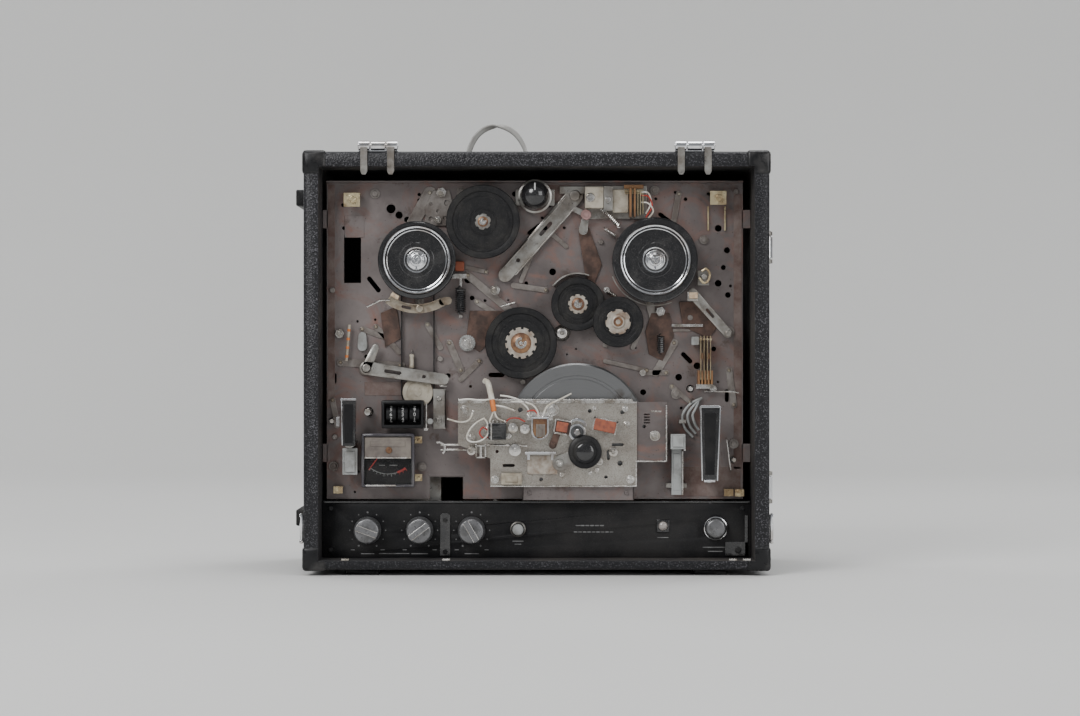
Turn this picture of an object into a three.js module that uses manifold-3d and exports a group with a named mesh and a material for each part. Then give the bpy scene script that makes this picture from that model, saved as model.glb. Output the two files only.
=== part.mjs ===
// Portable open-reel tape recorder for 178 mm reels, standing upright with its lid and face plate off.
// Millimetres. +Z is up, the mechanism faces -Y, and +X is to the right of someone who faces it.
// The origin is on the floor under the middle of the case. Depths are Y values: the rim is the most negative.
import * as THREE from "three";
import { mergeVertices } from "three/addons/utils/BufferGeometryUtils.js";
import Module from "manifold-3d";

const wasm = await Module();
wasm.setup();

// ---------------------------------------------------------------- driving dimensions
const CASE_WIDTH = 400;
const CASE_DEPTH = 200;
const CASE_TOP = 364;
const FOOT_HEIGHT = 5;
const WALL = 13;
const BOTTOM_WALL = 8;
const BACK_WALL = 10;
const GAP = 0.3;

const RIM_Y = -CASE_DEPTH / 2;
const BACK_Y = CASE_DEPTH / 2;
const INNER_X = CASE_WIDTH / 2 - WALL;
const INNER_TOP = CASE_TOP - WALL;
const INNER_BOTTOM = FOOT_HEIGHT + BOTTOM_WALL;

const CHASSIS_Y = -60;
const CHASSIS_THICK = 2;
const CHASSIS = { left: -183, right: 180, bottom: 63.8, top: 341.2 };
const PANEL_FRONT = -66;
const PANEL_THICK = 3;
const PANEL_TOP = 62.5;

const SUPPLY = { x: -103.5, z: 271.5, disc: 33.7 };
const TAKEUP = { x: 102.5, z: 271.5, disc: 37 };
const REWIND = { x: -46.4, z: 304.7, r: 32 };
const CAPSTAN_IDLER = { x: -13.5, z: 199.8, r: 31.2 };
const MOTOR = { x: 22.1, z: 208.5, pulley: 5, can: 36 };
const FIRST_WHEEL = { x: 36, z: 233.6, r: 23.3 };
const STEPPED_WHEEL = { x: 70.5, z: 218, small: 14.3, large: 22 };
const FLYWHEEL = { x: 35, z: 122.7, r: 59.6, shaft: 3 };
const PINCH = { x: 41.7, z: 106, r: 14.4, pivotX: 20, pivotZ: 96 };
const COUNTER_PULLEY = { x: -103.5, z: 157, r: 13.2 };

const HEAD_PLATE_FRONT = -84;
const HEAD_FACE = -97;
const SPINDLE_TIP = -96;
const DISC_FRONT = -83;
const DISC_BACK = -75.4;
const DRIVE_FRONT = -72;
const DRIVE_BACK = -66;
const BRAKE_FRONT = -74.4;
const BRAKE_BACK = -72.6;
const BRAKE_PAD_FRONT = -81;
const LEVER_FRONT = -69;
const LEVER_BACK = -67;

const METER = { left: -151.7, right: -105.5, bottom: 74.8, top: 121.6, front: -80 };
const NEEDLE = { x: -128.5, z: 112, length: 29 };
const COUNTER = { left: -133.9, right: -97.4, bottom: 126, top: 150.3, front: -84, drumR: 7, drumZ: 138.2 };
const SPEED_SELECTOR = { x: -1.4, z: 327.5, r: 12.2, front: -94 };

const HANDLE = { bottom: 62, top: 295, leg: 20, thick: 9.4, pivotY: -20 };
const CATCH = { pivotZ: 28.9, top: 53, thick: 3.7 };

const KNOB_Z = 36.9;
const KNOB_XS = [-147, -101.7, -56.5];
const KNOB_TURNS = [-20, 37, -60];
const KNOB_R = 11.5;
const POWER_BUTTON = { x: 155.5, z: KNOB_Z + 2, r: 9 };
const MONITOR_BUTTON = { x: -16.2, z: KNOB_Z + 0.9, r: 5 };

const CORD_R = 2.75;
const COIL = { x: 24.6, y: 160, mid: 30, half: 6, height: 12 };
const CORD_EXIT = { x: -65, y: 107, z: 360 };
const GLAND_Z = 326;

const ROUND = 24;

// ---------------------------------------------------------------- finishes
function finish(color, roughness, metalness) {
  return new THREE.MeshStandardMaterial({ color, roughness, metalness });
}

const LEATHERETTE = finish(0x17161a, 0.55, 0);
const BLACK_PAINT = finish(0x101012, 0.35, 0.1);
const BLACK_RUBBER = finish(0x141414, 0.6, 0);
const DUSTY_STEEL = finish(0x8f8680, 0.55, 0.7);
const BRIGHT_STEEL = finish(0xb9b5ac, 0.35, 0.9);
const CHROME = finish(0xd8dade, 0.12, 1);
const FLYWHEEL_GREY = finish(0x8d9092, 0.4, 0.8);
const ALUMINIUM = finish(0xb7b5b0, 0.35, 0.85);
const BROWN_BOARD = finish(0x8a5a34, 0.6, 0);
const COPPER_ARM = finish(0x9a5a3c, 0.45, 0.6);
const WHITE_PLASTIC = finish(0xcfcabd, 0.5, 0);
const CORD_GREY = finish(0xa9a8a4, 0.55, 0);

// ---------------------------------------------------------------- geometry helpers
function toSolid(geometry) {
  const bare = geometry.clone();
  bare.deleteAttribute("normal");
  bare.deleteAttribute("uv");
  const merged = mergeVertices(bare, 1e-3);
  return new wasm.Manifold(
    new wasm.Mesh({
      numProp: 3,
      vertProperties: merged.attributes.position.array,
      triVerts: new Uint32Array(merged.index.array),
    }),
  );
}

function toGeometry(solid) {
  const mesh = solid.getMesh();
  const geometry = new THREE.BufferGeometry();
  geometry.setAttribute("position", new THREE.BufferAttribute(mesh.vertProperties, mesh.numProp));
  geometry.setIndex(new THREE.BufferAttribute(mesh.triVerts, 1));
  return geometry;
}

function join(...geometries) {
  return toGeometry(geometries.map(toSolid).reduce((a, b) => a.add(b)));
}

function cut(geometry, ...tools) {
  return toGeometry(tools.map(toSolid).reduce((a, b) => a.subtract(b), toSolid(geometry)));
}

// A block given by its limits on each axis.
function block(x0, x1, y0, y1, z0, z1) {
  const box = new THREE.BoxGeometry(x1 - x0, y1 - y0, z1 - z0);
  return box.translate((x0 + x1) / 2, (y0 + y1) / 2, (z0 + z1) / 2);
}

// A flat outline in X and Z, given thickness from y0 (front) to y1 (back).
function slab(shape, y0, y1, curveSegments = 10) {
  const geometry = new THREE.ExtrudeGeometry(shape, { depth: y1 - y0, bevelEnabled: false, curveSegments });
  return geometry.rotateX(Math.PI / 2).translate(0, y1, 0);
}

function outline(points) {
  return new THREE.Shape(points.map(([x, z]) => new THREE.Vector2(x, z)));
}

// A straight link with round ends, seen from the front.
function link(x0, z0, x1, z1, width, y0, y1) {
  const along = Math.atan2(z1 - z0, x1 - x0);
  const shape = new THREE.Shape();
  shape.absarc(x1, z1, width / 2, along - Math.PI / 2, along + Math.PI / 2, false);
  shape.absarc(x0, z0, width / 2, along + Math.PI / 2, along + Math.PI * 1.5, false);
  return slab(shape, y0, y1, 6);
}

// A turned piece about an axis along Y: the profile is [radius, y], from the front to the back.
function turned(profile, segments = ROUND) {
  return new THREE.LatheGeometry(profile.map(([r, y]) => new THREE.Vector2(r, y)), segments);
}

function rod(x, z, r, y0, y1, segments = 16) {
  return turned([[0, y0], [r, y0], [r, y1], [0, y1]], segments).translate(x, 0, z);
}

// A round bar along X.
function crossBar(x0, x1, y, z, r, segments = 16) {
  const bar = new THREE.CylinderGeometry(r, r, x1 - x0, segments);
  return bar.rotateZ(Math.PI / 2).translate((x0 + x1) / 2, y, z);
}

const recorder = new THREE.Group();

function add(name, geometry, material, x = 0, z = 0) {
  const mesh = new THREE.Mesh(geometry, material);
  mesh.name = name;
  mesh.position.set(x, 0, z);
  recorder.add(mesh);
  return mesh;
}

// ---------------------------------------------------------------- case
function buildCase() {
  const half = CASE_WIDTH / 2;
  const sideBottom = INNER_BOTTOM + GAP;
  const sideTop = INNER_TOP - GAP;
  add("case_top", block(-half, half, RIM_Y, BACK_Y, INNER_TOP, CASE_TOP), LEATHERETTE);
  add("case_bottom", block(-half, half, RIM_Y, BACK_Y, FOOT_HEIGHT, INNER_BOTTOM), LEATHERETTE);
  add("case_left", block(-half, -INNER_X, RIM_Y, BACK_Y, sideBottom, sideTop), LEATHERETTE);
  add("case_right", block(INNER_X, half, RIM_Y, BACK_Y, sideBottom, sideTop), LEATHERETTE);

  const socketWindow = block(-115, -15, 80, 110, 285, 345);
  const vents = [0, 1, 2, 3, 4, 5, 6].map((i) => block(50, 130, 80, 110, 220 + i * 12, 225 + i * 12));
  const wall = block(-INNER_X + GAP, INNER_X - GAP, BACK_Y - BACK_WALL, BACK_Y, sideBottom, sideTop);
  add("case_back", cut(wall, socketWindow, ...vents), LEATHERETTE);

  for (const [name, x] of [["left", -150], ["right", 150]]) {
    const footGeometry = block(x - 14, x + 14, -88, 88, 0, FOOT_HEIGHT - GAP);
    add(`foot_rail_${name}`, footGeometry, BLACK_RUBBER);
  }
  for (const [name, z] of [["upper", 326], ["lower", 48]]) {
    const railGeometry = block(-half - 9, -half - GAP, -70, 70, z - 7, z + 7);
    add(`side_foot_${name}`, railGeometry, BLACK_RUBBER);
  }
}

function lidHinge(x) {
  const leaf = block(x - 17, x + 17, -96, -72, CASE_TOP + GAP, CASE_TOP + 3);
  const barrel = crossBar(x - 17, x + 17, -96.5, CASE_TOP + 5.5, 4.2);
  const prongs = [-12, 11].map((dx) => {
    const middle = x + dx;
    return block(middle - 3, middle + 3, RIM_Y - 1.6, RIM_Y - GAP, 344, CASE_TOP + 5);
  });
  return join(leaf, barrel, ...prongs);
}

function buildCaseFittings() {
  add("lid_hinge_left", lidHinge(-136), CHROME);
  add("lid_hinge_right", lidHinge(136), CHROME);

  // The handle is a stirrup on two pivots in the right wall. At rest it lies flat against the wall.
  const near = CASE_WIDTH / 2 + GAP;
  const grip = block(near, near + HANDLE.thick, 28, 46, HANDLE.bottom, HANDLE.top);
  const legs = [HANDLE.bottom, HANDLE.top - HANDLE.leg].flatMap((z) => {
    const pivot = new THREE.CylinderGeometry(HANDLE.thick / 2, HANDLE.thick / 2, HANDLE.leg, 16);
    pivot.rotateX(Math.PI / 2).translate(near + HANDLE.thick / 2, HANDLE.pivotY, z + HANDLE.leg / 2);
    return [block(near, near + HANDLE.thick, HANDLE.pivotY, 30, z, z + HANDLE.leg), pivot];
  });
  add("carry_handle", join(grip, ...legs), BLACK_RUBBER);

  for (const [name, side] of [["left", -1], ["right", 1]]) {
    const pin = side * (CASE_WIDTH / 2 + GAP + CATCH.thick / 2);
    const flap = block(pin - CATCH.thick / 2, pin + CATCH.thick / 2, -95, -77, CATCH.pivotZ, CATCH.top);
    const knuckle = rod(pin, CATCH.pivotZ, CATCH.thick / 2, -95, -77, 12);
    add(`lid_catch_${name}`, join(flap, knuckle), CHROME);
  }
}

buildCase();
buildCaseFittings();

// ---------------------------------------------------------------- structure and what it carries inside
function buildStructure() {
  const { left, right, bottom, top } = CHASSIS;
  const back = CHASSIS_Y + CHASSIS_THICK;
  const plate = block(left, right, CHASSIS_Y, back, bottom, top);
  const slotLeft = block(-168, -153.2, -70, -50, 252.3, 294);
  const notch = block(-93, -64.2, -70, -50, 50, 83);
  const holes = [[158.5, 252], [158.5, 300], [-60, 255], [14, 262], [124, 170], [140, 180]]
    .map(([x, z]) => rod(x, z, 3, -70, -50, 10));
  const shaftHole = rod(MOTOR.x, MOTOR.z, 7, -70, -50, 16);
  const perforated = cut(plate, slotLeft, notch, shaftHole, ...holes);

  const flange = block(left, right, CHASSIS_Y - 6, back, top - 1.5, top);
  const side = INNER_X - GAP;
  const ears = [96, 300].flatMap((z) => [
    block(-side, left + 1, CHASSIS_Y, back, z, z + 16),
    block(right - 1, side, CHASSIS_Y, back, z, z + 16),
  ]);
  const boss = (wheel, r, front) => rod(wheel.x, wheel.z, r, front, back, 14);
  const bosses = [
    boss(SUPPLY, 8, -60.9),
    boss(TAKEUP, 8, -72),
    boss(REWIND, 6, -75),
    boss(CAPSTAN_IDLER, 6, -65),
    boss(FIRST_WHEEL, 6, -65),
    boss(STEPPED_WHEEL, 6, -64),
    boss(FLYWHEEL, 9, -63.5),
  ];
  add("chassis_plate", join(perforated, flange, ...ears, ...bosses), DUSTY_STEEL);

  const panelBack = PANEL_FRONT + PANEL_THICK;
  const panel = block(-side, side, PANEL_FRONT, panelBack, INNER_BOTTOM + GAP, PANEL_TOP);
  const knobHoles = KNOB_XS.map((x) => rod(x, KNOB_Z, 3.6, -75, -50, 12));
  const buttonHole = rod(POWER_BUTTON.x, POWER_BUTTON.z, POWER_BUTTON.r - 0.6, -75, -50, 20);
  const smallHole = rod(MONITOR_BUTTON.x, MONITOR_BUTTON.z, MONITOR_BUTTON.r - 0.8, -75, -50, 12);
  add("control_panel", cut(panel, ...knobHoles, buttonHole, smallHole), BLACK_PAINT);

  const socketPlate = block(-114.7, -15.3, 88, 90.5, 285.3, 344.7);
  const sockets = [-100, -82].flatMap((x) => [300, 322].map((z) => rod(x, z, 6.5, 80, 100, 16)));
  const mainsHole = rod(CORD_EXIT.x, GLAND_Z, 7.6, 80, 100, 16);
  add("rear_panel", cut(socketPlate, ...sockets, mainsHole), BLACK_PAINT);
}

function buildInsides() {
  const core = block(-150, -84, -35, 10, 44, 98);
  const coil = block(-138, -96, -48, 23, 56, 86);
  add("power_transformer", join(core, coil), DUSTY_STEEL);

  const board = block(-70, 172, 46, 48, 30, 190);
  const cans = [[-50, 60], [-20, 70], [110, 150], [140, 150]].map(([x, z]) => rod(x, z, 9, 12, 47, 12));
  const sinks = [20, 60].map((x) => block(x, x + 28, 26, 47, 40, 66));
  add("amplifier_board", join(board, ...cans, ...sinks), BROWN_BOARD);

  const can = MOTOR.can;
  const motorProfile = [[0, -52], [can - 6, -52], [can, -48], [can, 8], [can - 5, 12], [0, 12]];
  add("motor", turned(motorProfile, 24), DUSTY_STEEL, MOTOR.x, MOTOR.z);
}

// ---------------------------------------------------------------- drive train
// A wheel with a rubber rim, a thinner web and a raised hub; y0 is its front and y1 its back.
function wheel(r, hub, y0, y1) {
  const web = Math.min(1.2, (y1 - y0) / 4);
  const rim = Math.max(hub + 3, r - 5);
  return turned([
    [0, y0 - 2], [hub * 0.55, y0 - 2], [hub, y0 - 0.6], [hub, y0 + web], [rim, y0 + web],
    [rim + 1, y0], [r - 0.6, y0], [r, y0 + 0.6], [r, y1 - 0.6], [r - 0.6, y1], [0, y1],
  ]);
}

// A reel table: its spindle, a raised rim and the wide disc that the idlers press on.
// tail is the profile behind the disc, as [radius, y].
function turntable(disc, rimR, tail) {
  return turned([
    [0, SPINDLE_TIP], [2.2, SPINDLE_TIP + 1], [3.6, -92], [3.6, -88], [9.5, -87.4], [10, -86],
    [rimR - 3, -86], [rimR - 2.4, -87], [rimR, -87], [rimR, -84], [disc, DISC_FRONT], [disc, DISC_BACK],
    ...tail,
  ], 36);
}

function buildDrive() {
  const supplyTail = [[14, DISC_BACK], [14, -66], [13.2, -65], [13.2, -61.2], [0, -61.2]];
  const takeupTail = [[12, DISC_BACK], [12, -72.4], [0, -72.4]];
  add("supply_turntable", turntable(SUPPLY.disc, 29.4, supplyTail), BLACK_PAINT, SUPPLY.x, SUPPLY.z);
  add("takeup_turntable", turntable(TAKEUP.disc, 30.6, takeupTail), BLACK_PAINT, TAKEUP.x, TAKEUP.z);

  const fly = FLYWHEEL.r;
  const shaft = FLYWHEEL.shaft;
  const flywheelProfile = [
    [0, -97], [shaft - 0.5, -97], [shaft, -96.5], [shaft, -77.6], [9, -77.6], [9, -75], [fly - 13.5, -75],
    [fly - 12.8, -73.9], [fly - 11.6, -73.9], [fly - 11, -75], [fly - 0.6, -75], [fly, -74.4], [fly, -64.6],
    [fly - 0.6, -64], [0, -64],
  ];
  add("flywheel", turned(flywheelProfile, 40), FLYWHEEL_GREY, FLYWHEEL.x, FLYWHEEL.z);

  const p = MOTOR.pulley;
  const rotorProfile = [[0, -77], [p - 1, -77], [p, -76], [p, -62], [2.5, -61], [2.5, -52.4], [0, -52.4]];
  add("motor_rotor", turned(rotorProfile, 20), BRIGHT_STEEL, MOTOR.x, MOTOR.z);

  const idlerWheel = wheel(CAPSTAN_IDLER.r, 13.7, DRIVE_FRONT, DRIVE_BACK);
  const firstWheel = wheel(FIRST_WHEEL.r, 8.6, DRIVE_FRONT, DRIVE_BACK);
  add("capstan_idler", idlerWheel, BLACK_RUBBER, CAPSTAN_IDLER.x, CAPSTAN_IDLER.z);
  add("first_wheel", firstWheel, BLACK_RUBBER, FIRST_WHEEL.x, FIRST_WHEEL.z);
  const { small, large } = STEPPED_WHEEL;
  const steppedProfile = [
    [0, -85], [6, -85], [11, -83.5], [11, -81.5], [large - 1, -82], [large, -81.4], [large, -76.6],
    [large - 1, -76], [small, -76], [small, -65], [0, -65],
  ];
  add("stepped_wheel", turned(steppedProfile), BLACK_RUBBER, STEPPED_WHEEL.x, STEPPED_WHEEL.z);
  add("rewind_idler", wheel(REWIND.r, 7, -82, -76), BLACK_RUBBER, REWIND.x, REWIND.z);

  const pulleyR = COUNTER_PULLEY.r;
  const pulleyProfile = [[0, -65], [pulleyR - 0.5, -65], [pulleyR, -64.5], [pulleyR, -61], [0, -61]];
  add("counter_pulley", turned(pulleyProfile, 24), BLACK_PAINT, COUNTER_PULLEY.x, COUNTER_PULLEY.z);

  // The belt's two straight runs join half circles round the supply turntable's pulley and the counter's.
  const loop = (r, Path) => {
    const path = new Path();
    path.absarc(SUPPLY.x, SUPPLY.z, r, 0, Math.PI, false);
    path.absarc(COUNTER_PULLEY.x, COUNTER_PULLEY.z, r, Math.PI, Math.PI * 2, false);
    return path;
  };
  const beltShape = loop(pulleyR + GAP + 1.1, THREE.Shape);
  beltShape.holes.push(loop(pulleyR + GAP, THREE.Path));
  add("counter_belt", slab(beltShape, -63.8, -61.6, 14), BLACK_RUBBER);
}

buildStructure();
buildInsides();
buildDrive();

// ---------------------------------------------------------------- heads and tape path
function buildHeads() {
  const front = HEAD_PLATE_FRONT;
  const back = front + 2;
  const plateShape = outline([
    [-67.8, 149], [-67.8, 112], [-40, 100], [-40, 75.5], [86.7, 75.5], [86.7, 149],
  ]);
  const lips = [
    block(-67.8, 86.7, front, front + 7, 147.6, 149),
    block(-40, 86.7, front, front + 7, 75.5, 76.9),
  ];
  const posts = [[-62, 142], [-36, 80], [81, 78.5]]
    .map(([x, z]) => rod(x, z, 2.8, front + 1, CHASSIS_Y - GAP, 10));
  const shaftHole = rod(FLYWHEEL.x, FLYWHEEL.z, FLYWHEEL.shaft + 2.5, front - 5, back + 5, 16);
  add("head_plate", cut(join(slab(plateShape, front, back), ...lips, ...posts), shaftHole), BRIGHT_STEEL);

  const standing = front - GAP;
  const eraseCap = block(-41.5, -26, HEAD_FACE, standing, 116.5, 131);
  add("erase_head", eraseCap, BLACK_PAINT);

  const shield = new THREE.Shape();
  shield.moveTo(-4.5, 136);
  shield.lineTo(-4.5, 124);
  shield.absarc(3, 124, 7.5, Math.PI, Math.PI * 2, false);
  shield.lineTo(10.5, 136);
  shield.closePath();
  add("record_play_head", slab(shield, HEAD_FACE, standing, 10), CHROME);

  add("pressure_pad_arm", join(
    link(14, 112, 21, 130, 7, -96, -92),
    block(17, 27, HEAD_FACE, -90, 123, 132),
  ), COPPER_ARM);

  const { x, z, r, pivotX, pivotZ } = PINCH;
  add("pinch_arm", link(pivotX, pivotZ, x, z, 12, -87.4, -85.4), BRIGHT_STEEL);
  const rollerProfile = [
    [0, -98.4], [r * 0.5, -97.8], [r * 0.85, -96], [r, -93.5], [r, -88.6], [r - 0.8, -87.8], [0, -87.8],
  ];
  add("pinch_roller", turned(rollerProfile, 24), BLACK_RUBBER, x, z);
}

// ---------------------------------------------------------------- levers, brakes, meter and counter
function brakeArm(tablePoint, reach, discR, from, to) {
  const shape = new THREE.Shape();
  shape.absarc(tablePoint.x, tablePoint.z, reach, from, to, false);
  shape.absarc(tablePoint.x, tablePoint.z, reach - 8, to, from, true);
  shape.closePath();
  const pad = new THREE.Shape();
  pad.absarc(tablePoint.x, tablePoint.z, reach - 1, from, from + 0.2, false);
  pad.absarc(tablePoint.x, tablePoint.z, discR + 0.5, from + 0.2, from, true);
  pad.closePath();
  return join(slab(shape, BRAKE_FRONT, BRAKE_BACK), slab(pad, BRAKE_PAD_FRONT, BRAKE_BACK - 0.4, 4));
}

function buildLevers() {
  const down = -Math.PI / 2;
  add("left_brake_arm", brakeArm(SUPPLY, 46, SUPPLY.disc, down - 0.65, down + 0.55), BRIGHT_STEEL);
  add("right_brake_arm", join(
    link(135, 243, 166, 208, 9, BRAKE_FRONT, BRAKE_BACK),
    block(130.5, 139.5, BRAKE_PAD_FRONT, BRAKE_BACK - 0.4, 235, 244.2),
  ), BRIGHT_STEEL);
  add("play_lever", join(
    link(-148, 178, -81, 168, 12, LEVER_FRONT, LEVER_BACK),
    link(-148, 178, -140, 196, 9, LEVER_FRONT, LEVER_BACK),
  ), BRIGHT_STEEL);

  add("speed_shift_arm", join(
    link(33.4, 328.3, -27.4, 258.9, 15, -64, -62),
    rod(33.4, 328.3, 5, -66, -63, 12),
  ), DUSTY_STEEL);
  add("speed_switch", join(
    block(42, 66, -76, CHASSIS_Y - GAP, 316, 336),
    block(65, 92, -70, CHASSIS_Y - GAP, 312, 334),
    block(90, 96, -74, CHASSIS_Y - GAP, 308, 337),
  ), WHITE_PLASTIC);

  const paddle = outline([[142.5, 82], [155.5, 82], [158, 144], [141, 144]]);
  const transportLever = slab(paddle, -94, -84);
  add("transport_lever", join(transportLever, rod(149, 84, 5.5, -86, CHASSIS_Y - GAP, 14)), BLACK_PAINT);
  const recordShape = outline([[-168, 111], [-155, 111], [-154.3, 152], [-169, 152]]);
  const recordPaddle = slab(recordShape, -92, -84);
  add("record_lever", join(recordPaddle, rod(-161.5, 114, 5, -86, CHASSIS_Y - GAP, 14)), BLACK_PAINT);
  add("pause_slider", join(
    block(115.8, 128.7, -84, -72, 108, 121),
    block(117, 126, -74, -70, 68, 110),
  ), ALUMINIUM);

  const { x, z, r, front } = SPEED_SELECTOR;
  const dome = [
    [0, front], [5, front + 0.8], [9, front + 3.2], [r - 0.7, front + 7.2], [r, front + 12], [r, front + 24],
    [5, front + 24.5], [5, CHASSIS_Y - 0.4], [0, CHASSIS_Y - 0.4],
  ];
  add("speed_selector", turned(dome, 24), BLACK_PAINT, x, z);
}

function buildMeterAndCounter() {
  const { left, right, bottom, top, front } = METER;
  const meterBox = block(left, right, front, CHASSIS_Y - GAP, bottom, top);
  const dial = block(left + 3.7, right - 3.5, front - 10, front + 6, bottom + 3.7, top - 3.6);
  add("meter_body", cut(meterBox, dial), WHITE_PLASTIC);
  const lean = THREE.MathUtils.degToRad(-38);
  const needle = block(-0.6, 0.6, -77.5, -76.7, -NEEDLE.length, 0).rotateY(-lean);
  const hub = rod(0, 0, 2.2, -78, -76.2, 12);
  add("meter_needle", join(needle, hub), BLACK_PAINT, NEEDLE.x, NEEDLE.z);

  const back = COUNTER.front + 18;
  const counterBox = block(COUNTER.left, COUNTER.right, COUNTER.front, back, COUNTER.bottom, COUNTER.top);
  const [sightLeft, sightRight] = [COUNTER.left + 2.4, COUNTER.right - 2.4];
  const [sightBottom, sightTop] = [COUNTER.bottom + 3, COUNTER.top - 2.8];
  const sight = block(sightLeft, sightRight, COUNTER.front - 5, back - 2, sightBottom, sightTop);
  add("counter_body", cut(counterBox, sight), BLACK_PAINT);
  for (const [i, name] of ["hundreds", "tens", "units"].entries()) {
    const x0 = COUNTER.left + 3.4 + i * 10.2;
    const drum = crossBar(x0, x0 + 9.4, COUNTER.front + 8, COUNTER.drumZ, COUNTER.drumR, 20);
    add(`counter_drum_${name}`, drum, BLACK_PAINT);
  }
}

function buildControls() {
  const knobProfile = [
    [0, -84], [KNOB_R - 1, -84], [KNOB_R, -83], [KNOB_R + 0.5, PANEL_FRONT - 1], [3.2, PANEL_FRONT - 1],
    [3.2, PANEL_FRONT + PANEL_THICK], [0, PANEL_FRONT + PANEL_THICK],
  ];
  for (const [i, name] of ["tone_knob", "volume_knob", "balance_knob"].entries()) {
    const bar = block(1 - KNOB_R, KNOB_R - 1, -87, -83, -1.8, 1.8);
    const knob = add(name, join(turned(knobProfile, 24), bar), ALUMINIUM, KNOB_XS[i], KNOB_Z);
    knob.rotation.y = THREE.MathUtils.degToRad(-KNOB_TURNS[i]);
  }

  const cap = POWER_BUTTON.r;
  const capProfile = [
    [0, -78], [cap - 1, -78], [cap, -77], [cap, -70], [cap - 1, -69.5], [cap - 1, -58], [0, -58],
  ];
  add("power_button", turned(capProfile, 24), ALUMINIUM, POWER_BUTTON.x, POWER_BUTTON.z);
  const pin = MONITOR_BUTTON.r;
  const pinProfile = [
    [0, -75], [pin - 0.6, -75], [pin, -74.4], [pin, -69.5], [pin - 1.1, -69], [pin - 1.1, -60], [0, -60],
  ];
  add("monitor_button", turned(pinProfile, 16), ALUMINIUM, MONITOR_BUTTON.x, MONITOR_BUTTON.z);
}

// ---------------------------------------------------------------- mains lead
function buildCord() {
  const { x, y, z } = CORD_EXIT;
  const stem = rod(x, GLAND_Z, 6.8, 80, y + 6, 14);
  const collar = rod(x, GLAND_Z, 9, 90.8, 95, 14);
  const reliefLength = 36;
  const relief = turned([[0, 0], [6.4, 0], [5.6, 12], [3.6, reliefLength], [0, reliefLength]], 14)
    .rotateX(Math.PI / 2)
    .translate(x, y, z - GAP - reliefLength);
  add("strain_relief", join(stem, collar, relief), BLACK_RUBBER);

  // Up out of the relief, over in one arch behind the case, down to the floor, then along it to the coil.
  const route = [
    [-65, 107, 360], [-64.7, 107, 370], [-63, 107.2, 382], [-57, 107.6, 394], [-48, 108, 401.6],
    [-37.3, 108, 404.1], [-26.6, 108, 401.6], [-17.4, 108, 394], [-11, 108, 382], [-7.5, 108, 366],
    [-4.5, 108.2, 330], [-3, 108.4, 280], [-3.5, 108.5, 220], [-5, 108.5, 160], [-7, 108.5, 110],
    [-8.6, 108.5, 65], [-9.6, 108.5, 31], [-9.8, 112.2, 16.9], [-10, 122.3, 6.8], [-10, 134, 3.1],
    [-10, 142.7, 3.1],
  ];
  const curve = new THREE.CatmullRomCurve3(route.map((p) => new THREE.Vector3(...p)), false, "centripetal");
  const section = new THREE.Shape();
  section.absarc(0, 0, CORD_R, 0, Math.PI * 2, false);
  const tube = new THREE.ExtrudeGeometry(section, { steps: 64, extrudePath: curve, curveSegments: 4 });
  add("cord_run", tube, CORD_GREY);

  const { mid, half, height } = COIL;
  const inner = mid - half;
  const outer = mid + half;
  const soften = 1.5;
  const ring = turned([
    [inner, soften], [inner + soften, GAP], [outer - soften, GAP], [outer, soften],
    [outer, height - soften], [outer - soften, height], [inner + soften, height],
    [inner, height - soften], [inner, soften],
  ], 32);
  add("cord_coil", ring.rotateX(Math.PI / 2).translate(COIL.x, COIL.y, 0), CORD_GREY);

  // The plug lies beside the coil, with its cord end where the last turn leaves the coil.
  const plugX = COIL.x + 30.5;
  const plugY = COIL.y + mid;
  const plugShape = [
    block(plugX - 5, plugX + 1, plugY - 4, plugY + 4, GAP, 10),
    block(plugX, plugX + 26, plugY - 9, plugY + 9, GAP, 14),
    block(plugX + 25, plugX + 34, plugY - 13, plugY + 13, GAP, 18),
    ...[-6.4, 6.4].map((dy) => block(plugX + 33, plugX + 51, plugY + dy - 0.8, plugY + dy + 0.8, 6, 12)),
  ];
  add("mains_plug", join(...plugShape), CORD_GREY);
}

buildHeads();
buildLevers();
buildMeterAndCounter();
buildControls();
buildCord();

export default recorder;
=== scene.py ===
"""Looks of a portable open-reel tape recorder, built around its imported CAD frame.

Shapes are worked out in millimetres in the CAD's frame (+X right, +Y back, +Z up) and scaled to metres as
they are made. A raw shape is (vertices, faces). make() turns one or more of them into a piece that rides on a
CAD body. An outline is a list of (x, z), and a profile for lathe() a list of (radius, y). Bare coordinates in
them are read from the photograph, where the plate's face is at y = -60 and the rim's at y = -100.
"""
import math
import random
from math import cos, pi, radians, sin

import bmesh
import bpy
from mathutils import Matrix, Vector


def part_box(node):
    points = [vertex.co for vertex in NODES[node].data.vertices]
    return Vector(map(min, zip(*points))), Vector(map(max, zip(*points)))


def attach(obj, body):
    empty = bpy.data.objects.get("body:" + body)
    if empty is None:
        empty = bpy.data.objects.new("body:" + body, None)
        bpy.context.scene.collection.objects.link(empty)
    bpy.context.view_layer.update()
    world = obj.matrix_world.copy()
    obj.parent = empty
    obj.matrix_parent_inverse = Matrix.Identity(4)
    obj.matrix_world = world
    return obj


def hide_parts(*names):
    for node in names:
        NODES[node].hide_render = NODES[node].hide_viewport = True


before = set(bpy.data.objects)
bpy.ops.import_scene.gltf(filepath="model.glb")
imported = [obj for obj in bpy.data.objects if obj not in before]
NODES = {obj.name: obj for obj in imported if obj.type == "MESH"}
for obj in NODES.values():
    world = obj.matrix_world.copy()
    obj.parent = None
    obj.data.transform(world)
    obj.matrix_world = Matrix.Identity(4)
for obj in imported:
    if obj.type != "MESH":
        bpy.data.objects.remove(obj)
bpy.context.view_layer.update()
MM = 0.001  # metres
WELD_GAP = 0.02  # points of a CAD node nearer than this are one point
TAU = math.tau


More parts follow.
